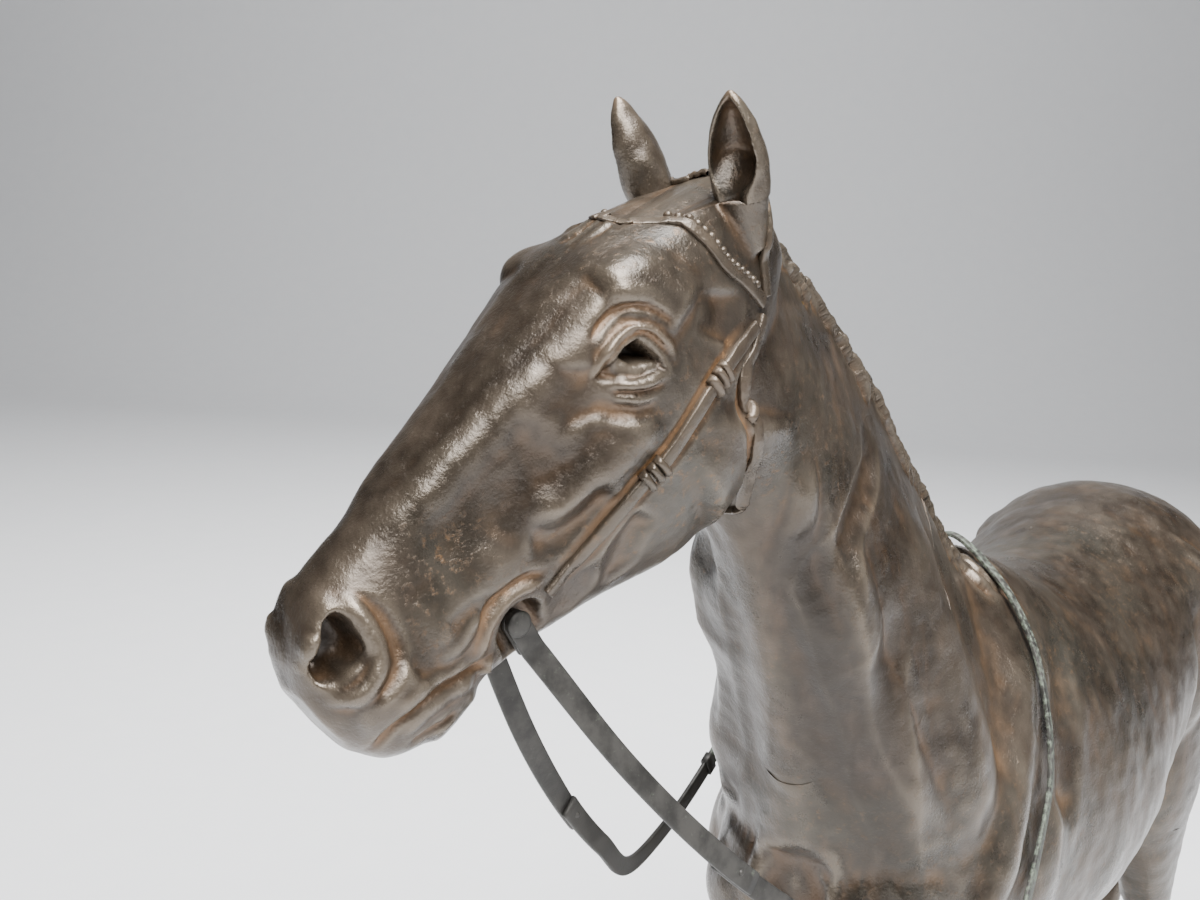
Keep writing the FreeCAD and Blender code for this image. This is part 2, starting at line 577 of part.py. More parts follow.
# the crown lies over the withers, just off the casting
left_end, left_face, left_way = ends["left"]
right_end, right_face, right_way = ends["right"]
arch = Part.BSplineCurve()
arch.interpolate([left_end, at(*CROWN_TOP), right_end], InitialTangent=left_way * REIN_WIDTH,
                 FinalTangent=right_way * -REIN_WIDTH)
crown_points = arch.discretize(Number=CROWN_STATIONS)
crown_faces = [left_face]
for i in range(1, CROWN_STATIONS - 1):
    mix = 1 - i / (CROWN_STATIONS - 1)
    face = left_face * mix + right_face * (1 - mix)
    lift = CROWN_SWELL * math.sin(math.pi * mix)
    crown_faces.append(V(0, face.y, face.z + lift).normalize())
crown_faces.append(right_face)
crown_ways = [left_way] + tangents_of(crown_points)[1:-1] + [right_way * -1]
nodes["rein_crown"] = strip(crown_points, crown_faces, crown_ways)

for name, shape in nodes.items():
    print(f"{name}: {len(shape.Solids)} solids, {shape.Volume:.0f} mm3, valid {shape.isValid()}")
os.makedirs("parts", exist_ok=True)
for name, shape in nodes.items():
    shape.exportStep(f"parts/{name}.step")
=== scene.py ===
"""Looks of a standing bronze horse with a bridle and a bent-strip rein, built as an add-on."""

import json
import math

import bmesh
import bpy
import numpy as np
from bpy.props import FloatProperty, FloatVectorProperty, PointerProperty
from mathutils import Matrix, Vector, noise
from mathutils.bvhtree import BVHTree

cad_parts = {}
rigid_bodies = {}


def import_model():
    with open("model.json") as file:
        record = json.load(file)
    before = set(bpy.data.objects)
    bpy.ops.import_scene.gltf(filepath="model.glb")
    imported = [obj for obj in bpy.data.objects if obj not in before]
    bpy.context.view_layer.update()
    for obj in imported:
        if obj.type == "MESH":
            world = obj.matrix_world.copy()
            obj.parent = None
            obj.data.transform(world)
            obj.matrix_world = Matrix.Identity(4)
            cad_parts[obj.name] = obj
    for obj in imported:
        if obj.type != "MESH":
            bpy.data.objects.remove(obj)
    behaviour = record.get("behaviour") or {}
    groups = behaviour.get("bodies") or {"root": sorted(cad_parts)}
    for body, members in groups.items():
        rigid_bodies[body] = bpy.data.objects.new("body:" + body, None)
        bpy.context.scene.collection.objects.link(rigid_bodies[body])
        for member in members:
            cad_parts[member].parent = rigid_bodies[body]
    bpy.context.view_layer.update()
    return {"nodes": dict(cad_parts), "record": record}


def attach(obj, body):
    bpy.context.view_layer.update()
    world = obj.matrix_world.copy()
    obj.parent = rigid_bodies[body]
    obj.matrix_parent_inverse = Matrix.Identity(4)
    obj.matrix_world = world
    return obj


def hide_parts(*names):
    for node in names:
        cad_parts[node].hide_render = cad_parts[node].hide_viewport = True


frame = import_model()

bl_info = {
    "name": "Bronze Horse",
    "version": (1, 0, 0),
    "blender": (4, 5, 0),
    "location": "3D View > Sidebar > Bronze Horse",
    "description": "Castings, bridle and rein of a standing bronze horse",
    "category": "Object",
}

MM = 0.001

# ---- driving dimensions, in metres, as the frame has them ----
WITHERS = 270 * MM
HEAD = 108 * MM
HEAD_YAW = -14.8
HEAD_PITCH = 41.6
EAR_LENGTH = 21 * MM
EAR_WALL = 1.0 * MM
STRAP_WIDTH = 3.2 * MM
STRAP_THICK = 0.9 * MM
BUCKLE_PROUD = 1.5 * MM
BUCKLE_LENGTH = 3.4 * MM
KEEPER_LENGTH = 1.6 * MM
BUCKLE_SIDE = 0.6 * MM
BIT_RADIUS = 1.5 * MM
BIT_HEAD_RADIUS = 2.3 * MM
BIT_HEAD_THICK = 0.7 * MM
MOUTH_HOLE_RADIUS = 4.4 * MM
RECESS_FLOOR = 4.4 * MM
REIN_WIDTH = 4.4 * MM
REIN_THICK = 1.1 * MM
REIN_LAP = 6.0 * MM
REIN_KEEPER_LENGTH = 3.0 * MM
REIN_KEEPER_THICK = 0.5 * MM
LAP_GAP = 0.05 * MM
RIVET_RADIUS = 0.7 * MM
BIT_SEAT = 6.6 * MM
FORE_SPREAD = 25 * MM
HIND_SPREAD = 24 * MM
HIND_STAGGER = 14 * MM

# ---- proportions: shares of the height at the withers unless a note says otherwise ----
ORIGIN_X = 0.185
# x, top, bottom, half width, egg
TRUNK = [(-0.512, 0.850, 0.770, 0.035, 0.0), (-0.495, 0.885, 0.700, 0.090, 0.0),
         (-0.455, 0.925, 0.640, 0.130, -0.05), (-0.380, 0.968, 0.605, 0.160, -0.10),
         (-0.280, 0.990, 0.600, 0.168, -0.10), (-0.180, 0.972, 0.605, 0.162, -0.02),
         (-0.080, 0.948, 0.575, 0.165, 0.10), (0.000, 0.938, 0.545, 0.171, 0.12),
         (0.100, 0.948, 0.532, 0.166, 0.15), (0.200, 0.985, 0.537, 0.146, 0.22),
         (0.280, 0.985, 0.550, 0.135, 0.20), (0.370, 0.940, 0.565, 0.132, 0.10),
         (0.440, 0.870, 0.590, 0.118, 0.05), (0.490, 0.805, 0.630, 0.088, 0.0),
         (0.510, 0.760, 0.665, 0.040, 0.0)]
# crest x, z, throat x, z, half width, sideways shift, share of the head's yaw
NECK = [(0.205, 0.955, 0.400, 0.620, 0.110, 0.000, 0.00),
        (0.268, 0.998, 0.490, 0.720, 0.108, 0.000, 0.05),
        (0.357, 1.070, 0.540, 0.845, 0.084, 0.000, 0.15),
        (0.442, 1.146, 0.583, 0.935, 0.067, -0.002, 0.35),
        (0.519, 1.208, 0.622, 1.015, 0.057, -0.006, 0.60),
        (0.590, 1.256, 0.658, 1.085, 0.052, -0.011, 0.80),
        (0.656, 1.292, 0.700, 1.130, 0.050, -0.016, 0.95),
        (0.715, 1.306, 0.745, 1.170, 0.047, -0.020, 1.00)]
NECK_EGG = 0.45
NECK_SEAM = 2
HEAD_SEAM = 5
# shares of HEAD in the head's own frame: along the face, top, bottom, half width, egg
SKULL = [(-0.060, -0.050, -0.270, 0.080, -0.10), (0.020, -0.002, -0.330, 0.112, -0.10),
         (0.100, 0.022, -0.385, 0.132, -0.15), (0.180, 0.036, -0.445, 0.148, -0.20),
         (0.280, 0.050, -0.492, 0.160, -0.22), (0.370, 0.042, -0.500, 0.154, -0.22),
         (0.460, 0.028, -0.472, 0.138, -0.20), (0.560, 0.014, -0.425, 0.114, -0.15),
         (0.660, 0.002, -0.390, 0.102, -0.10), (0.750, -0.010, -0.365, 0.096, -0.05),
         (0.830, -0.022, -0.355, 0.102, 0.0), (0.905, -0.036, -0.352, 0.108, 0.0),
         (0.965, -0.072, -0.320, 0.092, 0.0), (1.000, -0.125, -0.260, 0.055, 0.0)]
SKULL_BOX = 0.7
BIT_HOLE = (0.699, 0.086, -0.306)
EAR_BASE = (0.000, 0.106, -0.075)
EAR_DIRECTION = (-0.32, 0.16, 1.0)
EAR_FACING = {1: (-0.30, 0.95), -1: (-0.93, 0.35)}   # along and left parts of the line across
EAR_SEAT = 0.12          # share of the ear's length where it stands on its root
# z, x, half depth, half width
FORELEG = [(0.720, 0.320, 0.075, 0.018), (0.640, 0.304, 0.070, 0.036),
           (0.560, 0.298, 0.062, 0.044),
           (0.500, 0.306, 0.053, 0.042), (0.430, 0.314, 0.040, 0.032),
           (0.370, 0.320, 0.033, 0.027), (0.325, 0.322, 0.031, 0.028),
           (0.290, 0.325, 0.034, 0.031), (0.250, 0.322, 0.028, 0.026),
           (0.200, 0.320, 0.021, 0.018), (0.130, 0.318, 0.020, 0.017),
           (0.095, 0.318, 0.027, 0.023), (0.067, 0.328, 0.021, 0.019),
           (0.048, 0.337, 0.025, 0.024), (0.030, 0.344, 0.030, 0.028),
           (0.012, 0.350, 0.034, 0.031), (0.000, 0.353, 0.035, 0.032)]
HIND_LEG = [(0.780, -0.360, 0.115, 0.055), (0.680, -0.350, 0.112, 0.062),
            (0.600, -0.340, 0.092, 0.058), (0.550, -0.350, 0.077, 0.050),
            (0.480, -0.378, 0.057, 0.040), (0.410, -0.405, 0.043, 0.031),
            (0.355, -0.424, 0.037, 0.026), (0.310, -0.428, 0.037, 0.027),
            (0.270, -0.420, 0.032, 0.024), (0.220, -0.412, 0.025, 0.020),
            (0.140, -0.405, 0.023, 0.019), (0.100, -0.402, 0.029, 0.024),
            (0.070, -0.388, 0.022, 0.019), (0.045, -0.377, 0.027, 0.026),
            (0.000, -0.366, 0.038, 0.035)]
FORE_JOINT = 0.500
HIND_JOINT = 0.550
STAGGER_FROM = 0.48
# x, z, half depth, half width of the tail
TAIL = [(-0.470, 0.900, 0.030, 0.032), (-0.520, 0.885, 0.026, 0.030),
        (-0.556, 0.840, 0.025, 0.032), (-0.568, 0.760, 0.028, 0.037),
        (-0.562, 0.640, 0.032, 0.042), (-0.556, 0.500, 0.030, 0.040),
        (-0.556, 0.360, 0.022, 0.029), (-0.560, 0.250, 0.008, 0.012)]
LEFT_REIN_BEND = (0.733, 0.052, 0.844)
LEFT_REIN = [(0.567, 0.104, 0.748), (0.489, 0.141, 0.704), (0.426, 0.152, 0.681),
             (0.374, 0.152, 0.683), (0.341, 0.148, 0.711), (0.315, 0.146, 0.752),
             (0.280, 0.139, 0.811), (0.258, 0.121, 0.869), (0.244, 0.098, 0.919),
             (0.241, 0.066, 0.965), (0.233, 0.030, 0.993)]
RIGHT_REIN_BEND = (0.759, -0.059, 0.854)
RIGHT_REIN = [(0.556, -0.133, 0.737), (0.496, -0.146, 0.737), (0.430, -0.157, 0.752),
              (0.363, -0.160, 0.793), (0.319, -0.150, 0.856), (0.281, -0.118, 0.919),
              (0.252, -0.069, 0.967), (0.233, -0.030, 0.993)]
CROWN_TOP = (0.231, 0.0, 1.002)
REIN_STATIONS = 29
LAP_STATION = 7
KEEPER_SHARE = 0.62
CROWN_NARROW = 0.6       # width of the crown beside the rest of the rein

# ---- frames of reference ----
LIFT = frame["record"]["behaviour"]["joints"][0]
BIT = np.array(LIFT["pos_m"])
LEFT = np.array(LIFT["axis"])
PITCH = math.radians(HEAD_PITCH)
FORWARD = np.array((LEFT[1], -LEFT[0], 0.0))
ALONG = FORWARD * math.cos(PITCH) - np.array((0, 0, math.sin(PITCH)))
UP = np.cross(ALONG, LEFT)
POLL = BIT - (ALONG * BIT_HOLE[0] + UP * BIT_HOLE[2]) * HEAD


class Chart:
    """A frame in which places are given as shares of one length."""

    def __init__(self, origin, axes, unit):
        self.origin, self.axes, self.unit = np.array(origin), np.array(axes), unit

    def world(self, place):
        return self.origin + (np.asarray(place, float) * self.unit) @ self.axes

    def local(self, points):
        return (points - self.origin) @ self.axes.T / self.unit


HEAD_CHART = Chart(POLL, (ALONG, LEFT, UP), HEAD)
STATUE_CHART = Chart((-ORIGIN_X * WITHERS, 0, 0), np.eye(3), WITHERS)


def at(x, y, z):
    return STATUE_CHART.world((x, y, z))


def in_head(x, y, z):
    return HEAD_CHART.world((x, y, z))


def unit(v):
    return np.asarray(v) / np.linalg.norm(v)


def ramp(x, low, high):
    """0 below low, 1 above high, smooth between."""
    t = np.clip((x - low) / (high - low), 0, 1)
    return t * t * (3 - 2 * t)


def eased(rows, count, trim=0):
    """count rows evenly along a smooth run through the given ones, less trim spans at each end."""
    rows = np.array(rows, float)
    knots = np.concatenate([[0], np.cumsum(np.linalg.norm(np.diff(rows[:, :3], axis=0), axis=1))])
    slope = np.gradient(rows, knots, axis=0)
    place = np.linspace(knots[trim], knots[len(knots) - 1 - trim], count)
    i = np.clip(np.searchsorted(knots, place, side="right") - 1, 0, len(rows) - 2)
    span = (knots[i + 1] - knots[i])[:, None]
    t = (place - knots[i])[:, None] / span
    return (rows[i] * (2 * t**3 - 3 * t**2 + 1) + slope[i] * span * (t**3 - 2 * t**2 + t)
            + rows[i + 1] * (3 * t**2 - 2 * t**3) + slope[i + 1] * span * (t**3 - t**2))


def turns(around):
    return np.linspace(0, math.tau, around + 1)


def egg(centre, up, side, narrow=0.0, box=1.0, around=96):
    """A closed section; narrow pinches its upper end, and a box under 1 squares it."""
    rise, out = np.cos(turns(around)), np.sin(turns(around))
    out = np.where(rise > 0, np.copysign(np.abs(out) ** box, out), out)
    return (np.asarray(centre) + rise[:, None] * np.asarray(up)
            + (out * (1 - narrow * rise))[:, None] * np.asarray(side))


def plate(centre, across, out, width, thick, around=20, dome=0.0):
    """A flat section with rounded edges; dome swells its outer face."""
    c, s = np.cos(turns(around)), np.sin(turns(around))
    x = np.copysign(np.abs(c) ** 0.35, c) * (width / 2)
    z = np.copysign(np.abs(s) ** 0.35, s) * (thick / 2)
    z = z + np.where(s > 0, dome * thick * (1 - (2 * x / width) ** 2), 0)
    return np.asarray(centre) + x[:, None] * across + z[:, None] * out


# ---- modelling ----
def skin(loops):
    """A closed mesh through loops of points; a loop's last point is its first again."""
    loops = np.asarray(loops)
    along, around = loops.shape[0] - 1, loops.shape[1] - 1
    bm = bmesh.new()
    bmesh.ops.create_grid(bm, x_segments=around, y_segments=along, size=0.5)
    seam = []
    for v in bm.verts:
        i, j = round((v.co.x + 0.5) * around), round((v.co.y + 0.5) * along)
        if i in (0, around):
            seam.append(v)
        v.co = loops[j, i]
    bmesh.ops.remove_doubles(bm, verts=seam, dist=1e-7)
    bmesh.ops.holes_fill(bm, edges=[e for e in bm.edges if e.is_boundary], sides=0)
    bmesh.ops.recalc_face_normals(bm, faces=bm.faces)
    return bm


def gathered(*shells):
    """Several meshes in one."""
    whole = bmesh.new()
    for shell in shells:
        mesh = bpy.data.meshes.new("shell")
        shell.to_mesh(mesh)
        shell.free()
        whole.from_mesh(mesh)
        bpy.data.meshes.remove(mesh)
    return whole


def as_mesh(bm, name):
    mesh = bpy.data.meshes.new(name)
    bm.to_mesh(mesh)
    bm.free()
    return mesh


def remeshed(mesh, voxel):
    """The mesh's outer skin, made new from voxels, which joins shells that overlap."""
    lump = bpy.data.objects.new("lump", mesh)
    bpy.context.scene.collection.objects.link(lump)
    mod = lump.modifiers.new("voxels", "REMESH")
    mod.mode = "VOXEL"
    mod.voxel_size = voxel
    ready = lump.evaluated_get(bpy.context.evaluated_depsgraph_get())
    fresh = bpy.data.meshes.new_from_object(ready)
    bpy.data.objects.remove(lump)
    return fresh


class Clay:
    """A casting's surface while it is modelled."""

    def __init__(self, bm, voxel):
        self.voxel = voxel
        self.read(remeshed(as_mesh(bm, "clay"), voxel))

    def read(self, mesh):
        self.mesh = mesh
        self.co = np.empty((len(mesh.vertices), 3))
        mesh.vertices.foreach_get("co", self.co.ravel())
        # Above zero this marks ochre; below zero it marks painted shade, a darkening that stands for shade in
        # grooves and hollows.
        self.ochre = np.zeros(len(self.co))
        self.settle()

    def settle(self):
        """Writes the moved points back and looks up the new normals."""
        self.mesh.vertices.foreach_set("co", self.co.ravel())
        self.mesh.update()
        self.normal = np.empty_like(self.co)
        self.mesh.vertex_normals.foreach_get("vector", self.normal.ravel())

    def fresh(self, *added):
        """Makes the mesh new, with any shells added, so that stretched faces are even again."""
        self.settle()
        bm = bmesh.new()
        bm.from_mesh(self.mesh)
        self.read(remeshed(as_mesh(gathered(bm, *added), "clay"), self.voxel))

    def smooth(self, reach):
        """Smooths over about reach metres, the same at any voxel size."""
        self.settle()
        bm = bmesh.new()
        bm.from_mesh(self.mesh)
        for _ in range(max(1, round((reach / self.voxel) ** 2))):
            bmesh.ops.smooth_vert(bm, verts=bm.verts, factor=0.5, use_axis_x=True,
                                  use_axis_y=True, use_axis_z=True)
        bm.to_mesh(self.mesh)
        bm.free()
        self.read(self.mesh)

    def near(self, chart, line, radius, sides):
        """Points within radius of a line, how far off they are, and how far along it.

        A line of (x, z) places is seen from the side, and one of (x, y, z) is in space."""
        line = np.array(line, float)
        line = eased(np.c_[line, np.zeros(len(line))][:, :3], 6 * len(line))[:, :line.shape[1]] \
            if len(line) > 2 else line
        q = chart.local(self.co)
        hand = np.sign(q[:, 1])
        flat = line.shape[1] == 2
        if sides == "both" and not flat:
            q[:, 1] = np.abs(q[:, 1])
            line[:, 1] = np.abs(line[:, 1])
        if flat:
            q = q[:, (0, 2)]
        reach = radius / chart.unit
        if not flat:
            line = np.array([q[np.argmin(((q - spot) ** 2).sum(1))] for spot in line])
            line = line[np.r_[True, np.linalg.norm(np.diff(line, axis=0), axis=1) > 1e-9]]
            line[1:-1] = (line[:-2] + 2 * line[1:-1] + line[2:]) / 4
        box = ((q > line.min(0) - reach) & (q < line.max(0) + reach)).all(1)
        if flat and sides != "both":
            box &= hand == sides
        index = np.flatnonzero(box)
        spot = q[index]
        best, where = np.full(len(index), 1e9), np.zeros(len(index))
        for k, (a, b) in enumerate(zip(line[:-1], line[1:])):
            run = b - a
            t = np.clip((spot - a) @ run / (run @ run), 0, 1)
            away = np.linalg.norm(spot - a - t[:, None] * run, axis=1)
            closer = away < best
            best[closer] = away[closer]
            where[closer] = (k + t[closer]) / (len(line) - 1)
        best *= chart.unit
        close = best < radius
        index, best, where = index[close], best[close], where[close]
        weight = np.ones(len(index))
        if flat:
            weight = ramp(np.abs(self.normal[index] @ chart.axes[1]), 0.0, 0.75)
        return index, best, where, weight

    def stroke(self, chart, line, radius, height, sides="both", fade=0.2, ochre=0.0, sharp=2.0):
        """Raises or sinks the surface along a line. radius and height are in millimetres."""
        index, away, where, weight = self.near(chart, line, radius * MM, sides)
        ends = ramp(where, 0, fade) * ramp(1 - where, 0, fade) if fade else 1.0
        form = (1 - (away / (radius * MM)) ** 2) ** sharp * weight * ends
        self.co[index] += self.normal[index] * (height * MM * form)[:, None]
        # An ochre below zero paints shade into the stroke's groove.
        self.paint(index, ochre * np.sqrt(form))

    def paint(self, index, amount):
        """Marks ochre where amount is above zero, and painted shade where it is below."""
        held = self.ochre[index]
        self.ochre[index] = np.where(np.abs(amount) > np.abs(held), amount, held)

    def strokes(self, chart, rows, gain=1.0, **settings):
        for line, radius, height, *ochre in rows:
            self.stroke(chart, line, radius, height * gain, ochre=ochre[0] if ochre else 0.0,
                        **settings)
        self.settle()

    def hollow(self, chart, outline, depth, edge, ochre=0.0, hands=(1, -1)):
        """Sinks the surface inside an outline drawn from the side; sizes are in millimetres."""
        outline = np.array(outline, float)
        centre = outline.mean(0)
        turn = np.argsort(np.arctan2(*(outline - centre).T[::-1]))
        ring = eased(np.c_[outline[turn], np.zeros(len(turn))][[*range(len(turn)), 0, 1]],
                     8 * len(turn), 0)[:, :2]
        q = chart.local(self.co)
        index = np.flatnonzero(np.linalg.norm(q[:, (0, 2)] - centre, axis=1) * chart.unit
                               < 20 * MM)
        spot = q[index][:, (0, 2)]
        inside = np.zeros(len(index), bool)
        away = np.full(len(index), 1e9)
        for a, b in zip(ring, np.roll(ring, -1, axis=0)):
            crosses = (a[1] > spot[:, 1]) != (b[1] > spot[:, 1])
            rise = b[1] - a[1] or 1e-12
            inside ^= crosses & (spot[:, 0] < a[0] + (b[0] - a[0]) * (spot[:, 1] - a[1]) / rise)
            run = b - a
            t = np.clip((spot - a) @ run / max(run @ run, 1e-12), 0, 1)
            away = np.minimum(away, np.linalg.norm(spot - a - t[:, None] * run, axis=1))
        away *= chart.unit / MM
        signed = np.where(inside, away, -away)
        form = ramp(signed, -0.15 * edge, edge)
        for hand in hands:
            side = (np.sign(q[index, 1]) == hand) & (self.normal[index] @ chart.axes[1] * hand > 0)
            push = (depth * MM * form)[:, None] * chart.axes[1] * -hand
            self.co[index] += np.where(side[:, None], push, 0)
            # An ochre below zero paints shade into the hollow.
            self.paint(index, np.where(side, ochre * form, 0))

    def texture(self, size, height, seed):
        """The uneven surface that modelling wax leaves."""
        lift = np.array([noise.noise(Vector(p) / (size * MM) + Vector((seed, 0, 0)))
                         for p in self.co])
        self.co += self.normal * (lift * height * MM)[:, None]
        self.settle()

    def weather(self):
        """Stores where the surface is hollow, worn and ochre, and where shade is painted."""
        self.settle()
        edges = np.empty(2 * len(self.mesh.edges), np.int32)
        self.mesh.edges.foreach_get("vertices", edges)
        a, b = edges[0::2], edges[1::2]
        count = np.bincount(a, minlength=len(self.co)) + np.bincount(b, minlength=len(self.co))
        smooth = self.co.copy()
        for _ in range(max(4, round((1.5 * MM / self.voxel) ** 2))):
            smooth = np.stack([(np.bincount(a, smooth[b, k], len(self.co))
                                + np.bincount(b, smooth[a, k], len(self.co))) / count
                               for k in range(3)], axis=1)
        bulge = ((self.co - smooth) * self.normal).sum(1) / (0.22 * MM)
        # The last attribute holds the painted shade: the paint below zero, which darkens grooves, pupils and
        # nostrils.
        for name, values in (("hollow", np.clip(-bulge, 0, 1)), ("worn", np.clip(bulge, 0, 1)),
                             ("ochre", np.clip(self.ochre, 0, 1)),
                             ("soot", np.clip(-self.ochre, 0, 1))):
            layer = self.mesh.attributes.new(name, "FLOAT", "POINT")
            layer.data.foreach_set("value", values.astype(np.float32))

    def cut(self, planes):
        """Keeps what is behind each plane, and closes the cuts with flat faces."""
        bm = bmesh.new()
        bm.from_mesh(self.mesh)
        for point, normal in planes:
            geom = bm.verts[:] + bm.edges[:] + bm.faces[:]
            bmesh.ops.bisect_plane(bm, geom=geom, dist=1e-6, plane_co=Vector(point),
                                   plane_no=Vector(normal), clear_outer=True)
            rim = [e for e in bm.edges if e.is_boundary]
            for edge in rim:
                edge.smooth = False
            bmesh.ops.holes_fill(bm, edges=rim, sides=0)
        bm.to_mesh(self.mesh)
        bm.free()
        return self.mesh


def largest_island(mesh):
    """Drops every piece of the mesh but the one with the most points."""
    bm = bmesh.new()
    bm.from_mesh(mesh)
    left, islands = set(bm.verts), []
    while left:
        start = left.pop()
        island, queue = [start], [start]
        while queue:
            for edge in queue.pop().link_edges:
                for v in edge.verts:
                    if v in left:
                        left.remove(v)
                        island.append(v)
                        queue.append(v)
        islands.append(island)
    islands.sort(key=len)
    for island in islands[:-1]:
        bmesh.ops.delete(bm, geom=island, context="VERTS")
    bm.to_mesh(mesh)
    bm.free()
    return mesh


def place(name, mesh, material, body, slot, nodes):
    """Puts a finished mesh in the scene as a piece that stands for its nodes."""
    mesh.name = name
    mesh.polygons.foreach_set("use_smooth", [True] * len(mesh.polygons))
    mesh.materials.clear()
    mesh.materials.append(material)
    piece = bpy.data.objects.new(name, mesh)
    bpy.context.scene.collection.objects.link(piece)
    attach(piece, body)
    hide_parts(*nodes)
    return piece


# ---- materials ----
class Wire:
    """A socket that Python expressions can use."""

    def __init__(self, tree, socket):
        self.tree, self.socket = tree, socket

    def maths(self, operation, a, b):
        return self.tree.node("ShaderNodeMath", {"operation": operation}, [a, b])

    def __add__(self, other):
        return self.maths("ADD", self, other)

    def __sub__(self, other):
        return self.maths("SUBTRACT", self, other)

    def __rsub__(self, other):
        return self.maths("SUBTRACT", other, self)

    def __mul__(self, other):
        return self.maths("MULTIPLY", self, other)

    __radd__ = __add__
    __rmul__ = __mul__

    def clip(self):
        return self.tree.node("ShaderNodeClamp", {}, [self])

    def between(self, low, high):
        """0 below low, 1 above high."""
        return self.tree.node("ShaderNodeMapRange", {"interpolation_type": "SMOOTHSTEP"},
                              {"Value": self, "From Min": low, "From Max": high})


class Recipe:
    """The nodes of one material."""

    def __init__(self, name):
        self.material = bpy.data.materials.new(name)
        self.material.use_nodes = True
        self.nodes = self.material.node_tree.nodes
        self.nodes.clear()
        self.place = self.node("ShaderNodeTexCoord", {}, [], "Object")

    def node(self, kind, settings, inputs, output=0):
        made = self.nodes.new(kind)
        for key, value in settings.items():
            setattr(made, key, value)
        pairs = inputs.items() if isinstance(inputs, dict) else enumerate(inputs)
        for key, value in pairs:
            if isinstance(value, Wire):
                self.material.node_tree.links.new(value.socket, made.inputs[key])
            else:
                made.inputs[key].default_value = value
        return Wire(self, made.outputs[output])

    def stored(self, name):
        return self.node("ShaderNodeAttribute", {"attribute_name": name}, [], "Fac")

    def noise(self, scale, detail=4.0, rough=0.55, stretch=(1, 1, 1)):
        place = self.node("ShaderNodeMapping", {}, {"Vector": self.place, "Scale": stretch})
        return self.node("ShaderNodeTexNoise", {}, {"Vector": place, "Scale": scale,
                                                    "Detail": detail, "Roughness": rough})

    def mix(self, factor, a, b, blend="MIX"):
        return self.node("ShaderNodeMix", {"data_type": "RGBA", "blend_type": blend},
                         {0: factor, 6: a, 7: b}, 2)

    def bump(self, height, strength, distance):
        return self.node("ShaderNodeBump", {}, {"Strength": strength, "Distance": distance * MM,
                                                "Height": height})

    def finish(self, colour, rough, metal, normal, **fixed):
        inputs = {"Base Color": colour, "Roughness": rough, "Metallic": metal, "Normal": normal}
        inputs.update({key.replace("_", " "): value for key, value in fixed.items()})
        shader = self.node("ShaderNodeBsdfPrincipled", {}, inputs)
        self.node("ShaderNodeOutputMaterial", {}, {"Surface": shader}) \
            if False else self.material.node_tree.links.new(
                shader.socket, self.nodes.new("ShaderNodeOutputMaterial").inputs[0])
        return self.material


def colour_of(values):
    return (*values, 1.0)


def patina(name, streaks=0.0, speckle=0.5, ochre=1.0, tone=1.0):
    """Brown patinated bronze: mottled, ochre in its hollows, polished on its edges, and darkened with painted
    shade where strokes marked it.
    """
    tones = bpy.context.scene.horse_tones
    brown = tuple(c * tone for c in tones.brown)
    recipe = Recipe(name)
    hollow, worn, painted, soot = (recipe.stored(k) for k in ("hollow", "worn", "ochre", "soot"))
    mottle = recipe.noise(55.0, 6.0, 0.62).between(0.34, 0.66)
    cloud = recipe.noise(24.0, 3.0, 0.5).between(0.42, 0.68)
    grain = recipe.noise(1500.0, 3.0, 0.6)
    fleck = recipe.noise(620.0, 5.0, 0.7).between(0.52, 0.72)
    drip = recipe.noise(150.0, 4.0, 0.6, (1, 1, 0.09)).between(0.5, 0.74) * streaks
    colour = recipe.mix(mottle, colour_of([c * 0.62 for c in brown]),
                        colour_of([c * 1.35 for c in brown]))
    colour = recipe.mix(cloud * 0.45, colour, colour_of(tones.grey_green))
    colour = recipe.mix((fleck * cloud * speckle).clip(), colour, colour_of(tones.ochre))
    colour = recipe.mix((drip * 0.32).clip(), colour, colour_of([c * 0.42 for c in tones.ochre]))
    settled = ((hollow * 0.3 * (mottle * 0.6 + 0.4) + painted * 0.75 * (fleck * 0.6 + 0.4))
               * ochre).clip()
    colour = recipe.mix(settled, colour, colour_of(tones.ochre))
    colour = recipe.mix(worn * 0.4, colour, colour_of(tones.worn))
    # Painted shade: grooves, pupils and nostrils that strokes marked are darkened towards a deep brown.
    colour = recipe.mix((soot * (mottle * 0.3 + 0.6)).clip(), colour,
                        colour_of([c * 0.22 for c in brown]))
    rough = (0.21 + mottle * 0.12 + grain * 0.12 + settled * 0.3 + fleck * 0.08 - worn * 0.05).clip()
    metal = (0.55 - settled * 0.5 - drip * 0.2).clip()
    pits = recipe.noise(330.0, 4.0, 0.6)
    height = grain * 0.35 + pits * 0.65 + fleck * 0.15
    return recipe.finish(colour, rough, metal, recipe.bump(height, 1.0, 0.28),
                         Specular_IOR_Level=0.6, Coat_Weight=0.12, Coat_Roughness=0.28)


def rein_finish(name, green):
    """Dull dark strip bronze, pale green where it is weathered."""
    tones = bpy.context.scene.horse_tones
    recipe = Recipe(name)
    mottle = recipe.noise(160.0, 5.0, 0.65).between(0.35, 0.65)
    grain = recipe.noise(1800.0, 3.0, 0.6)
    crust = recipe.noise(700.0, 6.0, 0.7).between(0.62 - 0.36 * green, 0.92 - 0.36 * green)
    dark = tones.rein
    colour = recipe.mix(mottle, colour_of([c * 0.7 for c in dark]), colour_of([c * 1.5 for c in dark]))
    colour = recipe.mix(crust * (0.3 + 0.35 * green), colour, colour_of(tones.verdigris))
    rough = (0.46 + mottle * 0.12 + crust * 0.25 + grain * 0.06).clip()
    metal = (0.5 - crust * 0.5).clip()
    return recipe.finish(colour, rough, metal, recipe.bump(grain * 0.4 + crust * 0.6, 0.5, 0.15))


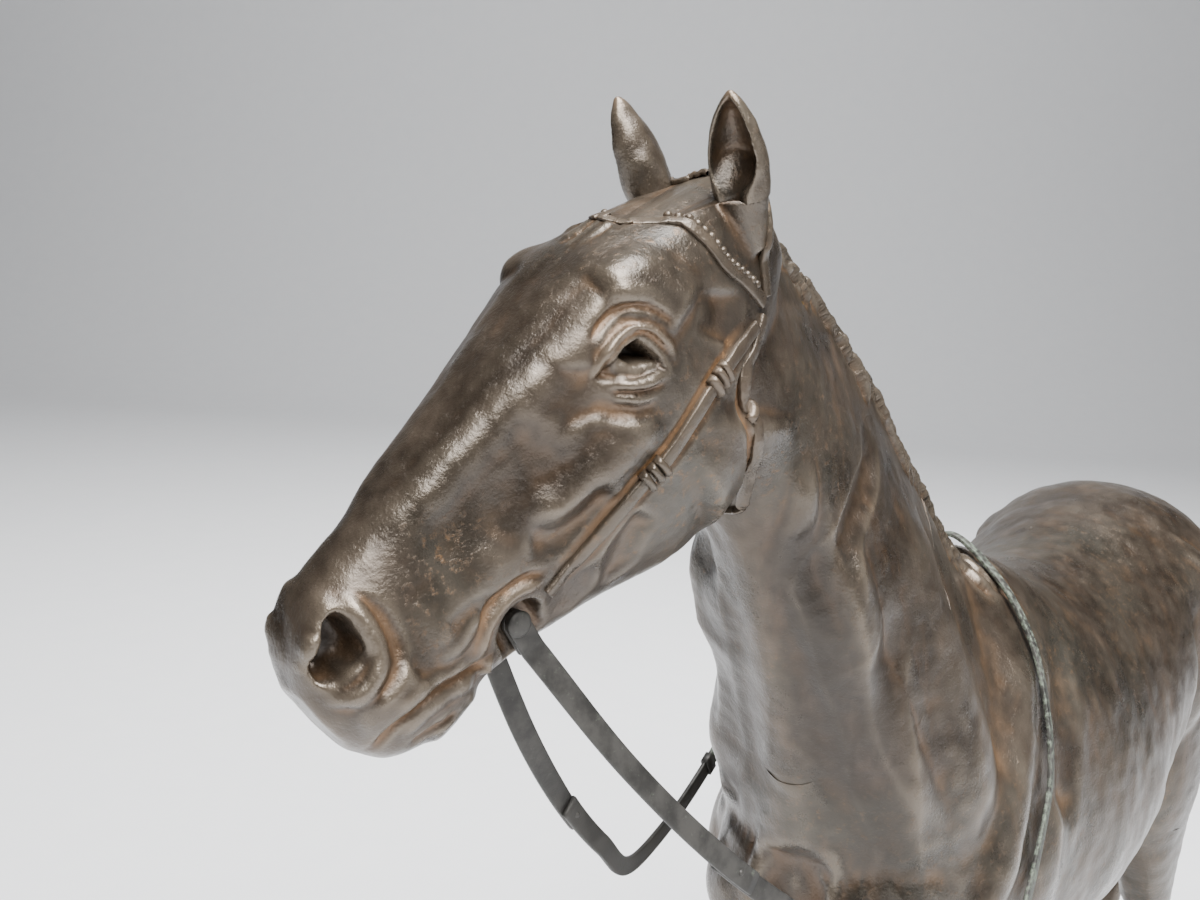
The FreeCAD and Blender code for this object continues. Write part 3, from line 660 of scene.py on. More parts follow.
def bare_bronze(name):
    """Drawn bronze rod as it comes from the stock."""
    recipe = Recipe(name)
    lines = recipe.noise(900.0, 2.0, 0.5, (1, 1, 0.05))
    colour = recipe.mix(lines, (0.36, 0.22, 0.09, 1), (0.56, 0.38, 0.18, 1))
    return recipe.finish(colour, lines * 0.2 + 0.25, 1.0, recipe.bump(lines, 0.2, 0.05))


def studio_card(name):
    """Pale seamless paper."""
    recipe = Recipe(name)
    fibre = recipe.noise(40.0, 2.0, 0.5)
    colour = recipe.mix(fibre, (0.78, 0.785, 0.80, 1), (0.82, 0.82, 0.825, 1))
    return recipe.finish(colour, 0.9, 0.0, recipe.bump(fibre, 0.05, 0.1))


# ---- shapes of the castings ----
def trunk_shell():
    rows = eased(TRUNK, 90)
    return skin([egg(at(x, 0, (top + low) / 2), (0, 0, (top - low) / 2 * WITHERS),
                     (0, w * WITHERS, 0), narrow, around=96) for x, top, low, w, narrow in rows])


def neck_frame(row):
    cx, cz, tx, tz, width, shift, share = row
    crest, throat = at(cx, shift, cz), at(tx, shift, tz)
    yaw = math.radians(HEAD_YAW * share)
    side = np.array((-math.sin(yaw), math.cos(yaw), 0)) * width * WITHERS
    return (crest + throat) / 2, (crest - throat) / 2, side


def neck_shell():
    return skin([egg(*neck_frame(row), NECK_EGG, around=96) for row in eased(NECK, 70)])


NECK_ROWS = np.array(eased(NECK, 71))


def neck_point(share, turn):
    """A place on the neck: share runs from the withers to the poll, turn down its left side."""
    row = [np.interp(share, np.linspace(0, 1, len(NECK_ROWS)), values) for values in NECK_ROWS.T]
    centre, up, side = neck_frame(row)
    rise, out = math.cos(turn), math.sin(turn)
    return centre + up * rise + side * out * (1 - NECK_EGG * rise)


def skull_shell():
    loops = []
    for x, top, low, width, narrow in eased(SKULL, 90):
        loops.append(egg(in_head(x, 0, (top + low) / 2), UP * (top - low) / 2 * HEAD,
                         LEFT * width * HEAD, narrow, SKULL_BOX, around=96))
    return skin(loops)


def leg_shell(rows, spread, stagger):
    loops = []
    for z, x, deep, wide in eased(rows, 120):
        lean = stagger * max(0.0, STAGGER_FROM - z) / STAGGER_FROM
        loops.append(egg(at(x, 0, z) + (-lean, spread, 0), (deep * WITHERS, 0, 0),
                         (0, wide * WITHERS, 0), around=48))
    return skin(loops)


def seam(row):
    """A point on a seam of the neck and the seam's normal, towards the head."""
    centre, up, side = neck_frame(NECK[row])
    normal = unit(np.cross(side, up))
    return centre, normal * math.copysign(1, normal[0])


def ear_frame(side):
    base = in_head(EAR_BASE[0], side * EAR_BASE[1], EAR_BASE[2])
    rise = unit(ALONG * EAR_DIRECTION[0] + LEFT * side * EAR_DIRECTION[1] + UP)
    along, left = EAR_FACING[side]
    across = unit(LEFT * left + ALONG * along * side)
    across = unit(across - rise * (across @ rise))
    front = np.cross(across, rise)
    front *= math.copysign(1, front @ ALONG)
    return base, rise, across, front


# share of the ear's length, half width, half depth
EAR = [(-0.35, 0.17, 0.16), (0.00, 0.21, 0.19), (0.12, 0.235, 0.20), (0.30, 0.255, 0.205),
       (0.55, 0.235, 0.175), (0.80, 0.15, 0.11), (0.92, 0.08, 0.06), (0.985, 0.02, 0.02)]
EAR_CUP = (0.14, 0.50, 0.80, 0.97)   # the cup opens between the first two shares and closes after
CUP_AHEAD = 0.62                     # how far ahead of the ear's middle the cup's middle lies
CUP_DEPTH = 1.32


def ear_shell(side):
    base, rise, across, front = ear_frame(side)
    return skin([egg(base + rise * share * EAR_LENGTH, front * deep * EAR_LENGTH,
                     across * wide * EAR_LENGTH, around=64)
                 for share, wide, deep in eased(EAR, 70)])


def carve_cup(clay, side):
    """Sinks the hollow of an ear, and leaves its rims standing."""
    base, rise, across, front = ear_frame(side)
    q = (clay.co - base) / EAR_LENGTH
    share, out, ahead = q @ rise, q @ across, q @ front
    rows = eased(EAR, 200)
    wide, deep = (np.interp(share, rows[:, 0], rows[:, k]) for k in (1, 2))
    opening = ramp(share, *EAR_CUP[:2]) * ramp(1 - share, 1 - EAR_CUP[3], 1 - EAR_CUP[2])
    reach = np.maximum(wide - EAR_WALL / EAR_LENGTH * 0.9, 0.01)
    curve = np.sqrt(np.clip(1 - (out / reach) ** 2, 0, 1))
    floor = deep * (CUP_AHEAD + 1.3 * (1 - opening) - CUP_DEPTH * curve)
    drop = np.where(np.abs(out) < reach, np.maximum(ahead - floor, 0), 0)
    clay.co -= front * (drop * EAR_LENGTH)[:, None]
    clay.ochre = np.clip(0.25 * (drop > 0.02) * (out * side < 0), 0, 1)
    clay.settle()


# ---- modelled detail: lines are places in a chart, then radius, height and ochre; an ochre below zero is painted shade ----
EYE_OPENING = [(0.403, -0.064), (0.384, -0.057), (0.356, -0.052), (0.334, -0.052),
               (0.315, -0.055), (0.303, -0.070), (0.300, -0.092), (0.302, -0.116),
               (0.308, -0.134), (0.320, -0.124), (0.349, -0.113), (0.374, -0.093),
               (0.392, -0.077)]
PUPIL = [(0.319, -0.060), (0.355, -0.057), (0.348, -0.087), (0.306, -0.116)]
NOSTRIL_OPENING = [(0.900, -0.049), (0.886, -0.052), (0.881, -0.066), (0.884, -0.086),
                   (0.894, -0.114), (0.911, -0.124), (0.932, -0.124), (0.955, -0.126),
                   (0.970, -0.114), (0.968, -0.098), (0.955, -0.082), (0.935, -0.070)]
HEAD_FORMS = [
    ([(0.314, 0.009), (0.262, -0.010), (0.233, -0.055), (0.223, -0.105)], 8, 1.7),
    ([(0.400, -0.030), (0.440, -0.070), (0.450, -0.110)], 7, -0.7),
    ([(0.300, -0.078), (0.345, -0.085), (0.385, -0.080)], 8, 1.1),
    ([(0.350, -0.168), (0.417, -0.177), (0.478, -0.181), (0.531, -0.184), (0.610, -0.180)], 6, 1.3),
    ([(0.470, -0.212), (0.535, -0.226), (0.590, -0.214), (0.630, -0.192)], 5, -1.1),
    ([(0.180, -0.330), (0.260, -0.390), (0.360, -0.400)], 16, 2.2),
    ([(0.440, -0.310), (0.485, -0.330), (0.512, -0.360), (0.520, -0.400)], 5, -1.1),
    ([(0.480, -0.080), (0.560, -0.100), (0.660, -0.110), (0.760, -0.110)], 9, -0.9),
    ([(0.640, -0.150), (0.740, -0.180), (0.840, -0.190)], 8, 0.7),
    ([(0.130, -0.120), (0.170, -0.160), (0.200, -0.180)], 7, -0.9),
    ([(0.560, -0.300), (0.620, -0.330), (0.700, -0.350)], 6, -0.5),
    ([(0.870, -0.030), (0.930, -0.040), (0.975, -0.080)], 7, 0.9),
    ([(0.860, -0.190), (0.920, -0.190), (0.975, -0.175)], 7, 0.9),
    ([(0.800, -0.330), (0.860, -0.345), (0.920, -0.325)], 8, 0.9)]
HEAD_RIDGES = [  # in space, from the poll down the edge of the face
    ([(0.147, 0.105, -0.012), (0.260, 0.128, 0.012), (0.410, 0.118, -0.008),
      (0.579, 0.082, -0.018), (0.700, 0.070, -0.030), (0.800, 0.068, -0.044)], 5.5, 1.1),
    ([(0.120, 0.000, 0.030), (0.300, 0.000, 0.048), (0.460, 0.000, 0.030)], 9, -0.6)]
LIDS = [
    ([(0.412, -0.068), (0.381, -0.047), (0.355, -0.040), (0.329, -0.038), (0.305, -0.046),
      (0.290, -0.064), (0.284, -0.086), (0.281, -0.108), (0.286, -0.136)], 1.05, 1.05, 0.35),
    ([(0.404, -0.064), (0.383, -0.053), (0.356, -0.047), (0.332, -0.046), (0.311, -0.052),
      (0.297, -0.068), (0.292, -0.090), (0.293, -0.114)], 0.7, -0.3, 1.0),
    ([(0.380, -0.018), (0.345, -0.008), (0.307, -0.010), (0.284, -0.024), (0.270, -0.044),
      (0.262, -0.066), (0.258, -0.088)], 0.95, -0.8, 0.3),
    ([(0.372, 0.002), (0.330, 0.012), (0.290, 0.006), (0.262, -0.016), (0.247, -0.046)], 2.3, 0.35),
    ([(0.396, -0.080), (0.370, -0.104), (0.343, -0.120), (0.315, -0.128)], 1.1, 0.7),
    ([(0.400, -0.088), (0.384, -0.102), (0.366, -0.118), (0.340, -0.136), (0.314, -0.142)],
     1.1, -0.6, 0.2),
    ([(0.402, -0.100), (0.387, -0.118), (0.368, -0.133), (0.343, -0.146)], 1.4, 0.55),
    ([(0.434, -0.086), (0.412, -0.116), (0.380, -0.147), (0.345, -0.162)], 2.4, -0.7),
    ([(0.446, -0.104), (0.420, -0.136), (0.388, -0.163)], 2.2, 0.2)]
MUZZLE = [
    ([(0.880, -0.040), (0.868, -0.067), (0.876, -0.103), (0.892, -0.134), (0.927, -0.150),
      (0.960, -0.148), (0.985, -0.130)], 2.0, 1.3),
    ([(0.862, -0.050), (0.850, -0.090), (0.858, -0.128), (0.878, -0.158), (0.914, -0.168),
      (0.950, -0.166)], 2.0, -0.9, 0.1),
    ([(0.925, -0.056), (0.955, -0.066), (0.985, -0.096)], 1.4, 0.8),
    ([(0.762, -0.318), (0.790, -0.292), (0.822, -0.270), (0.865, -0.245), (0.911, -0.233),
      (0.942, -0.233), (0.975, -0.248), (0.995, -0.262)], 1.2, -1.2, 0.5),
    ([(0.790, -0.270), (0.835, -0.245), (0.880, -0.220), (0.935, -0.212)], 2.2, 0.6),
    ([(0.800, -0.310), (0.850, -0.278), (0.900, -0.258), (0.950, -0.258)], 2.0, 0.7),
    ([(0.850, -0.322), (0.889, -0.306), (0.923, -0.292), (0.945, -0.290)], 1.3, -0.8, 0.2),
    ([(0.700, -0.235), (0.750, -0.200), (0.800, -0.190)], 2.5, -0.4),
    ([(0.740, -0.215), (0.790, -0.225), (0.840, -0.215)], 2.2, 0.4),
    ([(0.634, -0.272), (0.662, -0.250), (0.690, -0.238), (0.719, -0.237), (0.745, -0.247),
      (0.768, -0.266), (0.780, -0.290)], 1.5, 1.15, 0.35),
    ([(0.622, -0.262), (0.655, -0.234), (0.692, -0.221), (0.730, -0.222), (0.765, -0.240)],
     1.2, -0.5, 0.4),
    ([(0.770, -0.296), (0.778, -0.308), (0.784, -0.320)], 2.2, 1.3)]
STRAP_SHADOWS = [
    ([(0.637, -0.308), (0.562, -0.302), (0.455, -0.278), (0.383, -0.268), (0.273, -0.243),
      (0.183, -0.238), (0.110, -0.232)], 1.5, -0.45, 0.5),
    ([(0.620, -0.268), (0.545, -0.262), (0.445, -0.238), (0.370, -0.228), (0.265, -0.203),
      (0.180, -0.198), (0.110, -0.205)], 1.2, -0.3, 0.9),
    ([(0.125, -0.262), (0.178, -0.268), (0.212, -0.308), (0.222, -0.355), (0.236, -0.410),
      (0.258, -0.490)], 1.6, -0.9, 0.6)]
FORELOCK = [
    ([(-0.060, 0.030, -0.010), (0.010, 0.000, 0.030), (0.070, -0.020, 0.045),
      (0.140, -0.045, 0.048), (0.190, -0.070, 0.040)], 2.4, 1.5),
    ([(-0.050, 0.055, -0.020), (0.020, 0.030, 0.028), (0.080, 0.012, 0.046),
      (0.150, -0.010, 0.052), (0.215, -0.035, 0.055)], 2.0, 1.5),
    ([(-0.040, 0.075, -0.030), (0.025, 0.055, 0.018), (0.085, 0.040, 0.038),
      (0.150, 0.020, 0.048), (0.235, 0.000, 0.058)], 1.8, 1.3),
    ([(-0.040, -0.010, 0.000), (0.020, -0.035, 0.028), (0.080, -0.060, 0.036),
      (0.130, -0.085, 0.030)], 2.2, 1.3),
    ([(0.000, 0.060, 0.005), (0.060, 0.055, 0.028), (0.120, 0.045, 0.038),
      (0.190, 0.028, 0.048)], 1.3, 1.0)]
# The first four grooves carry an ochre below zero: painted shade that darkens them.
NECK_FORMS = [
    ([(0.640, 1.105), (0.630, 1.073), (0.605, 1.008), (0.588, 0.969),
      (0.548, 0.877), (0.500, 0.800)], 7, -1.4, -0.9),
    ([(0.515, 1.137), (0.533, 1.106), (0.564, 1.085), (0.593, 1.049), (0.588, 1.002)], 5, -0.8, -0.5),
    ([(0.636, 1.044), (0.602, 0.975), (0.552, 0.879), (0.512, 0.767), (0.470, 0.690)], 5, -1.2, -0.8),
    ([(0.513, 1.007), (0.539, 0.949), (0.529, 0.880), (0.504, 0.786), (0.460, 0.700)], 8, -1.2, -0.7),
    ([(0.600, 1.080), (0.575, 1.000), (0.530, 0.900), (0.480, 0.800)], 9, 1.6),
    ([(0.480, 1.080), (0.450, 0.980), (0.420, 0.880), (0.400, 0.780)], 14, 1.2),
    ([(0.640, 1.130), (0.625, 1.060), (0.590, 0.960)], 4, 0.8)]
BODY_FORMS = [
    ([(0.255, 0.930), (0.320, 0.840), (0.400, 0.730), (0.440, 0.670)], 10, 1.6),
    ([(0.170, 0.930), (0.215, 0.840), (0.240, 0.760), (0.250, 0.690)], 9, -1.2),
    ([(0.240, 0.780), (0.290, 0.700), (0.330, 0.640)], 16, 1.8),
    ([(0.360, 0.600), (0.320, 0.620), (0.270, 0.650)], 8, -0.9),
    ([(0.470, 0.800), (0.450, 0.730), (0.420, 0.660), (0.390, 0.610)], 7, -1.0),
    ([(-0.190, 0.900), (-0.210, 0.820), (-0.205, 0.740), (-0.230, 0.660)], 12, -1.8, 0.15),
    ([(-0.260, 0.930), (-0.240, 0.905)], 12, 0.5),
    ([(-0.300, 0.900), (-0.360, 0.820), (-0.380, 0.740)], 18, 1.8),
    ([(-0.440, 0.860), (-0.450, 0.780), (-0.440, 0.700), (-0.420, 0.640)], 8, 1.1),
    ([(-0.400, 0.830), (-0.420, 0.760), (-0.415, 0.680)], 5, -0.9),
    ([(-0.170, 0.620), (-0.210, 0.640), (-0.250, 0.690)], 8, 1.5),
    ([(0.130, 0.560), (0.000, 0.575), (-0.100, 0.600)], 8, 0.7)]
CHEST_FURROW = [(0.515, 0.0, 0.790), (0.510, 0.0, 0.720), (0.480, 0.0, 0.640)]
LEG_FORMS = [
    ([(0.272, 0.480), (0.296, 0.430), (0.306, 0.380)], 6, 0.8),
    ([(0.335, 0.470), (0.340, 0.410), (0.338, 0.360)], 4, -0.6),
    ([(0.345, 0.310), (0.342, 0.285)], 6, 1.0),
    ([(0.300, 0.305), (0.296, 0.285)], 5, 0.9),
    ([(0.312, 0.255), (0.310, 0.190), (0.308, 0.125)], 2.4, -0.8),
    ([(0.301, 0.255), (0.299, 0.190), (0.297, 0.110)], 2.6, 0.7),
    ([(0.320, 0.068), (0.345, 0.055), (0.368, 0.044)], 2.0, 0.9, 0.3),
    ([(0.320, 0.050), (0.345, 0.040), (0.370, 0.032)], 1.5, -0.4, 0.3),
    ([(-0.300, 0.520), (-0.350, 0.450), (-0.400, 0.385)], 8, 1.0),
    ([(-0.455, 0.440), (-0.455, 0.385), (-0.462, 0.330)], 4, 1.2),
    ([(-0.436, 0.460), (-0.432, 0.400), (-0.434, 0.350)], 4, -1.0),
    ([(-0.400, 0.335), (-0.396, 0.300)], 5, 1.1),
    ([(-0.418, 0.255), (-0.414, 0.190), (-0.412, 0.130)], 2.4, -0.9),
    ([(-0.432, 0.260), (-0.428, 0.190), (-0.424, 0.120)], 2.6, 0.8),
    ([(-0.400, 0.062), (-0.376, 0.052), (-0.350, 0.040)], 2.2, 0.9, 0.3)]


def mane_locks(clay):
    """Short pulled locks that lie down the left side of the crest."""
    count = 58
    for k in range(count):
        share = 0.08 + 0.90 * k / (count - 1)
        length = 0.52 + 0.12 * math.sin(k * 2.3) + 0.08 * math.sin(k * 5.1)
        lean = 0.085 + 0.03 * math.sin(k * 1.7)
        line = []
        for step in range(7):
            t = step / 6
            turn = length * t + 0.03 * math.sin(k + 4 * t) - 0.05
            line.append(STATUE_CHART.local(neck_point(max(0.0, share - lean * t * (0.6 + t)), turn)))
        high = 0.9 + 0.3 * math.sin(k * 3.7)
        clay.stroke(STATUE_CHART, line, 1.9, high, sides=1, fade=0.12, sharp=1.2)
        # The groove beside each lock is darkened with painted shade.
        fine = [p + np.array((0.006, 0, 0.003)) for p in line]
        clay.stroke(STATUE_CHART, fine, 1.2, -1.1, sides=1, fade=0.15, ochre=-0.5)
    clay.settle()


def mane_back(clay):
    """The right side of the crest, where the mane is only combed over."""
    for k in range(30):
        share = 0.08 + 0.88 * k / 29
        line = []
        for step in range(4):
            turn = -0.34 * step / 3 * (1 + 0.3 * math.sin(k * 1.9))
            line.append(STATUE_CHART.local(neck_point(max(0.0, share - 0.03 * step / 3), turn)))
        clay.stroke(STATUE_CHART, line, 2.0, 0.7, sides=-1, fade=0.1)
    clay.settle()


def carve_mouth_corners(clay):
    """The recess round each end of the bit, open towards the rein."""
    for side in (1, -1):
        bit, tab = bit_seat(side), rein_tab(side)
        ends = np.array([bit, bit + tab * HEAD / 4])
        q = HEAD_CHART.local(clay.co)
        line = HEAD_CHART.local(ends)[:, (0, 2)]
        run = line[1] - line[0]
        spot = q[:, (0, 2)]
        t = np.clip((spot - line[0]) @ run / (run @ run), 0, 1)
        away = np.linalg.norm(spot - line[0] - t[:, None] * run, axis=1) * HEAD
        floor = RECESS_FLOOR / HEAD
        hold = ramp(MOUTH_HOLE_RADIUS * 1.12 - away, 0, 0.9 * MM)
        above = (q[:, 1] * side > floor) & (q[:, 1] * side < 0.2)
        drop = (q[:, 1] * side - floor) * hold * HEAD
        clay.co -= np.where(above, drop, 0)[:, None] * LEFT * side
    clay.settle()


def strand(clay, line, width, high):
    """A lock of hair that lies on the skin along a line in the head's chart."""
    spots = [in_head(*point) for point in eased(line, 26)]
    index = [int(np.argmin(((clay.co - spot) ** 2).sum(1))) for spot in spots]
    places, rises = clay.co[index], clay.normal[index]
    for _ in range(5):
        places[1:-1] = (places[:-2] + 2 * places[1:-1] + places[2:]) / 4
        rises[1:-1] = (rises[:-2] + 2 * rises[1:-1] + rises[2:]) / 4
    run = np.gradient(places, axis=0)
    loops = []
    for k, (place_at, rise) in enumerate(zip(places, rises)):
        swell = math.sin(math.pi * (0.04 + 0.92 * k / (len(places) - 1))) ** 0.6
        across = unit(np.cross(run[k], rise))
        loops.append(egg(place_at, unit(rise) * high * swell * MM, across * width * swell * MM,
                         around=12))
    return skin(loops)


def forelock(clay):
    """The locks that hang from the poll over the forehead, side by side."""
    made = []
    for row, (line, width, high) in enumerate(FORELOCK):
        for k in range(3):
            shift = (k - 1) * 0.017
            moved = [(x + 0.006 * math.sin(row + 2 * k), y + shift * (1 - 0.4 * n / len(line)), z)
                     for n, (x, y, z) in enumerate(line)]
            made.append(strand(clay, moved, width * 0.55, high * (0.75 + 0.15 * (row + k) % 0.4)))
    return made


def head_clay(voxel):
    clay = Clay(gathered(skull_shell(), neck_shell(), ear_shell(1), ear_shell(-1)), voxel)
    seat_planes = []
    for side in (1, -1):
        base, rise, _, _ = ear_frame(side)
        seat_planes.append((base + rise * EAR_SEAT * EAR_LENGTH, rise, side))
    clay.smooth(0.9 * MM)
    clay.strokes(HEAD_CHART, HEAD_FORMS, gain=1.3)
    clay.strokes(HEAD_CHART, HEAD_RIDGES)
    neck_detail(clay, forms_only=True)
    clay.hollow(HEAD_CHART, EYE_OPENING, 1.7, 1.0)
    clay.settle()
    clay.hollow(HEAD_CHART, NOSTRIL_OPENING, 5.6, 1.6)
    carve_mouth_corners(clay)
    clay.fresh(*forelock(clay))
    clay.smooth(0.3 * MM)
    clay.strokes(HEAD_CHART, LIDS, fade=0.25)
    clay.strokes(HEAD_CHART, MUZZLE)
    # The pupil and the inside of the nostril are darkened with painted shade.
    clay.hollow(HEAD_CHART, PUPIL, 4.6, 1.2, ochre=-1.0)
    clay.hollow(HEAD_CHART, NOSTRIL_OPENING, 0.5, 2.2, ochre=-1.0)
    clay.settle()
    clay.strokes(HEAD_CHART, STRAP_SHADOWS)
    neck_detail(clay, forms_only=False)
    clay.texture(9, 0.35, 3)
    clay.texture(3.2, 0.12, 11)
    return clay


def neck_detail(clay, forms_only):
    if forms_only:
        clay.strokes(STATUE_CHART, NECK_FORMS, gain=2.4, sharp=1.5)
        clay.strokes(STATUE_CHART, [([(0.640, 1.080), (0.610, 1.020), (0.590, 0.980)], 6, -0.6)])
    else:
        mane_locks(clay)
        mane_back(clay)


# ---- bridle ----
class Surface:
    """The finished skin that the bridle lies on."""

    def __init__(self, meshes):
        bm = bmesh.new()
        for mesh in meshes:
            bm.from_mesh(mesh)
        self.tree = BVHTree.FromBMesh(bm)
        bm.free()

    def path(self, points, count):
        """Places along a line laid on the skin, with their outward directions."""
        places, faces = [], []
        for point in eased(points, count):
            spot, normal, _, _ = self.tree.find_nearest(Vector(point))
            places.append(spot)
            faces.append(normal)
        places, faces = np.array(places), np.array(faces)
        for _ in range(6):
            places[1:-1] = (places[:-2] + 2 * places[1:-1] + places[2:]) / 4
            faces[1:-1] = (faces[:-2] + 2 * faces[1:-1] + faces[2:]) / 4
        faces /= np.linalg.norm(faces, axis=1)[:, None]
        return places, faces


def ribbon(places, faces, width, thick, sink=0.35 * MM, dome=0.25, wave=None):
    """A strap through places, its outer side towards faces."""
    loops = []
    run = np.gradient(places, axis=0)
    for k, (point, face) in enumerate(zip(places, faces)):
        across = unit(np.cross(run[k], face))
        out = unit(np.cross(across, run[k]))
        swell = 1.0 if wave is None else wave(k / (len(places) - 1))
        lift = (thick * swell - sink) / 2
        loops.append(plate(point + out * lift, across, out, width * (0.9 + 0.1 * swell),
                           thick * swell + sink, dome=dome))
    return skin(loops)


CHEEK = [(0.100, 0.125, -0.232), (0.183, 0.146, -0.219), (0.273, 0.159, -0.223),
         (0.383, 0.149, -0.249), (0.455, 0.133, -0.258), (0.562, 0.100, -0.283),
         (0.640, 0.087, -0.297)]
BROW = [(0.060, 0.127, -0.215), (0.083, 0.127, -0.150), (0.099, 0.132, -0.110),
        (0.104, 0.119, -0.048), (0.116, 0.089, 0.001), (0.138, 0.059, 0.026),
        (0.158, 0.028, 0.042), (0.164, 0.000, 0.048)]
BEAD_PITCH = 1.55 * MM
BEAD_RADIUS = 0.85 * MM
THROAT = [(0.072, 0.118, -0.235), (0.120, 0.122, -0.258), (0.169, 0.132, -0.272),
          (0.194, 0.124, -0.308), (0.200, 0.109, -0.350), (0.212, 0.090, -0.410),
          (0.233, 0.055, -0.492), (0.250, 0.000, -0.560)]
POLL_STRAP = [(0.045, 0.122, -0.215), (0.005, 0.125, -0.150), (-0.050, 0.100, -0.060),
              (-0.085, 0.050, 0.020), (-0.100, 0.000, 0.045)]


def mirrored(points):
    return [(x, -y, z) for x, y, z in points]


def whole_width(points):
    """A strap that crosses the middle, from its right end to its left end."""
    return mirrored(points) + points[-2::-1]


def in_world(points):
    return [in_head(*p) for p in points]


def under_forelock(share):
    """How far the browband stands out along its length; it sinks below the forelock."""
    return 0.25 + 0.75 * ramp(abs(share - 0.5), 0.10, 0.22)


def beads(places, faces):
    """Small round studs along the browband's upper edge."""
    made = []
    run = np.gradient(places, axis=0)
    gone = np.concatenate([[0], np.cumsum(np.linalg.norm(np.diff(places, axis=0), axis=1))])
    for k in range(2, int(gone[-1] / BEAD_PITCH) - 1):
        if abs(k * BEAD_PITCH / gone[-1] - 0.5) < 0.15:
            continue
        i = int(np.searchsorted(gone, k * BEAD_PITCH))
        across = unit(np.cross(run[i], faces[i]))
        across *= math.copysign(1, -across @ ALONG)
        spot = places[i] + across * STRAP_WIDTH * 0.34 + faces[i] * STRAP_THICK * 0.35
        bead = bmesh.new()
        bmesh.ops.create_icosphere(bead, subdivisions=2, radius=BEAD_RADIUS)
        bmesh.ops.translate(bead, verts=bead.verts, vec=Vector(spot))
        made.append(bead)
    return made


def wrap(surface, line, share, length, width, proud, name):
    """A band over a strap at a share of its line."""
    count = 161
    places, faces = surface.path(in_world(line), count)
    step = np.linalg.norm(places[1] - places[0])
    middle, half = round(share * (count - 1)), max(2, round(length / 2 / step))
    chosen = slice(middle - half, middle + half + 1)
    bead = lambda t: 0.55 + 0.45 * math.sin(math.pi * t) ** 0.5
    return ribbon(places[chosen], faces[chosen], width, proud, dome=0.3, wave=bead)


# ---- reins ----
def bit_seat(side):
    return BIT + LEFT * side * BIT_SEAT


def rein_bend(side):
    return at(*(LEFT_REIN_BEND if side > 0 else RIGHT_REIN_BEND))


def rein_tab(side):
    way = rein_bend(side) - bit_seat(side)
    return unit(way - LEFT * (way @ LEFT))


FINE = 6                 # steps from one station of a rein to the next


def rein_route(side):
    """The line of one rein and the directions its outer face looks to."""
    rows = [at(*row) for row in (LEFT_REIN if side > 0 else RIGHT_REIN)]
    start, bend = bit_seat(side) + rein_tab(side) * REIN_LAP, rein_bend(side)
    front = [start * (1 - t) ** 2 + bend * 2 * t * (1 - t) + rows[0] * t * t
             for t in (0, 0.25, 0.5, 0.75)]
    points = eased(front + rows, FINE * (REIN_STATIONS - 1) + 1)
    faces = []
    for i, point in enumerate(points):
        turned = min(1.0, i / FINE / LAP_STATION)
        rise = min(1.0, max(0.0, (point[2] / WITHERS - 0.86) / 0.14)) * math.radians(80)
        outward = np.array((0, side * math.cos(rise), math.sin(rise)))
        faces.append(unit(LEFT * side * (1 - turned) + outward * turned))
    return points, np.array(faces)


def rein_strip(points, faces, width=REIN_WIDTH, thick=REIN_THICK, round_start=False,
               round_end=False):
    loops = []
    run = np.gradient(points, axis=0)
    travelled = np.concatenate([[0], np.cumsum(np.linalg.norm(np.diff(points, axis=0), axis=1))])
    for k, (point, face) in enumerate(zip(points, faces)):
        across = unit(np.cross(run[k], face))
        out = unit(np.cross(across, run[k]))
        wide = np.broadcast_to(width, len(points))[k]
        for rounded, gone in ((round_start, travelled[k]),
                              (round_end, travelled[-1] - travelled[k])):
            if rounded and gone < width / 2:
                wide = max(0.12 * width, 2 * math.sqrt((width / 2) ** 2 - (width / 2 - gone) ** 2))
        loops.append(plate(point, across, out, wide, thick, around=24, dome=0.06))
    return skin(loops)


def dome_pin(centre, direction, radius, length):
    """A short rivet with a rounded head at each end."""
    side = unit(np.cross(direction, (0.3, 0.2, 1)))
    other = np.cross(direction, side)
    loops = []
    for t in np.linspace(-1, 1, 15):
        r = radius * max(0.05, math.sqrt(max(0.0, 1 - abs(t) ** 6)))
        loops.append(egg(centre + direction * t * length / 2, side * r, other * r, around=20))
    return skin(loops)


def plain_piece(name, bm, material, body, slot, nodes):
    """A small piece that needs no modelling of its own; it stores even patina values."""
    mesh = as_mesh(bm, name)
    for key, value in (("hollow", 0.1), ("worn", 0.35), ("ochre", 0.0)):
        layer = mesh.attributes.new(key, "FLOAT", "POINT")
        layer.data.foreach_set("value", [value] * len(mesh.vertices))
    return place(name, mesh, material, body, slot, nodes)


# ---- settings ----
class HorseSizes(bpy.types.PropertyGroup):
    """Sizes that set how finely and how deeply the castings are modelled."""
    head_voxel: FloatProperty(name="Head Voxel", description="Size of the head's finest detail",
                              default=0.48 * MM, min=0.3 * MM, unit="LENGTH", precision=5)
    neck_voxel: FloatProperty(name="Neck Voxel", description="Size of the neck's finest detail",
                              default=0.62 * MM, min=0.3 * MM, unit="LENGTH", precision=5)
    body_voxel: FloatProperty(name="Body Voxel", description="Size of the trunk's finest detail",
                              default=1.05 * MM, min=0.5 * MM, unit="LENGTH", precision=5)
    leg_voxel: FloatProperty(name="Leg Voxel", description="Size of the legs' finest detail",
                             default=0.75 * MM, min=0.3 * MM, unit="LENGTH", precision=5)


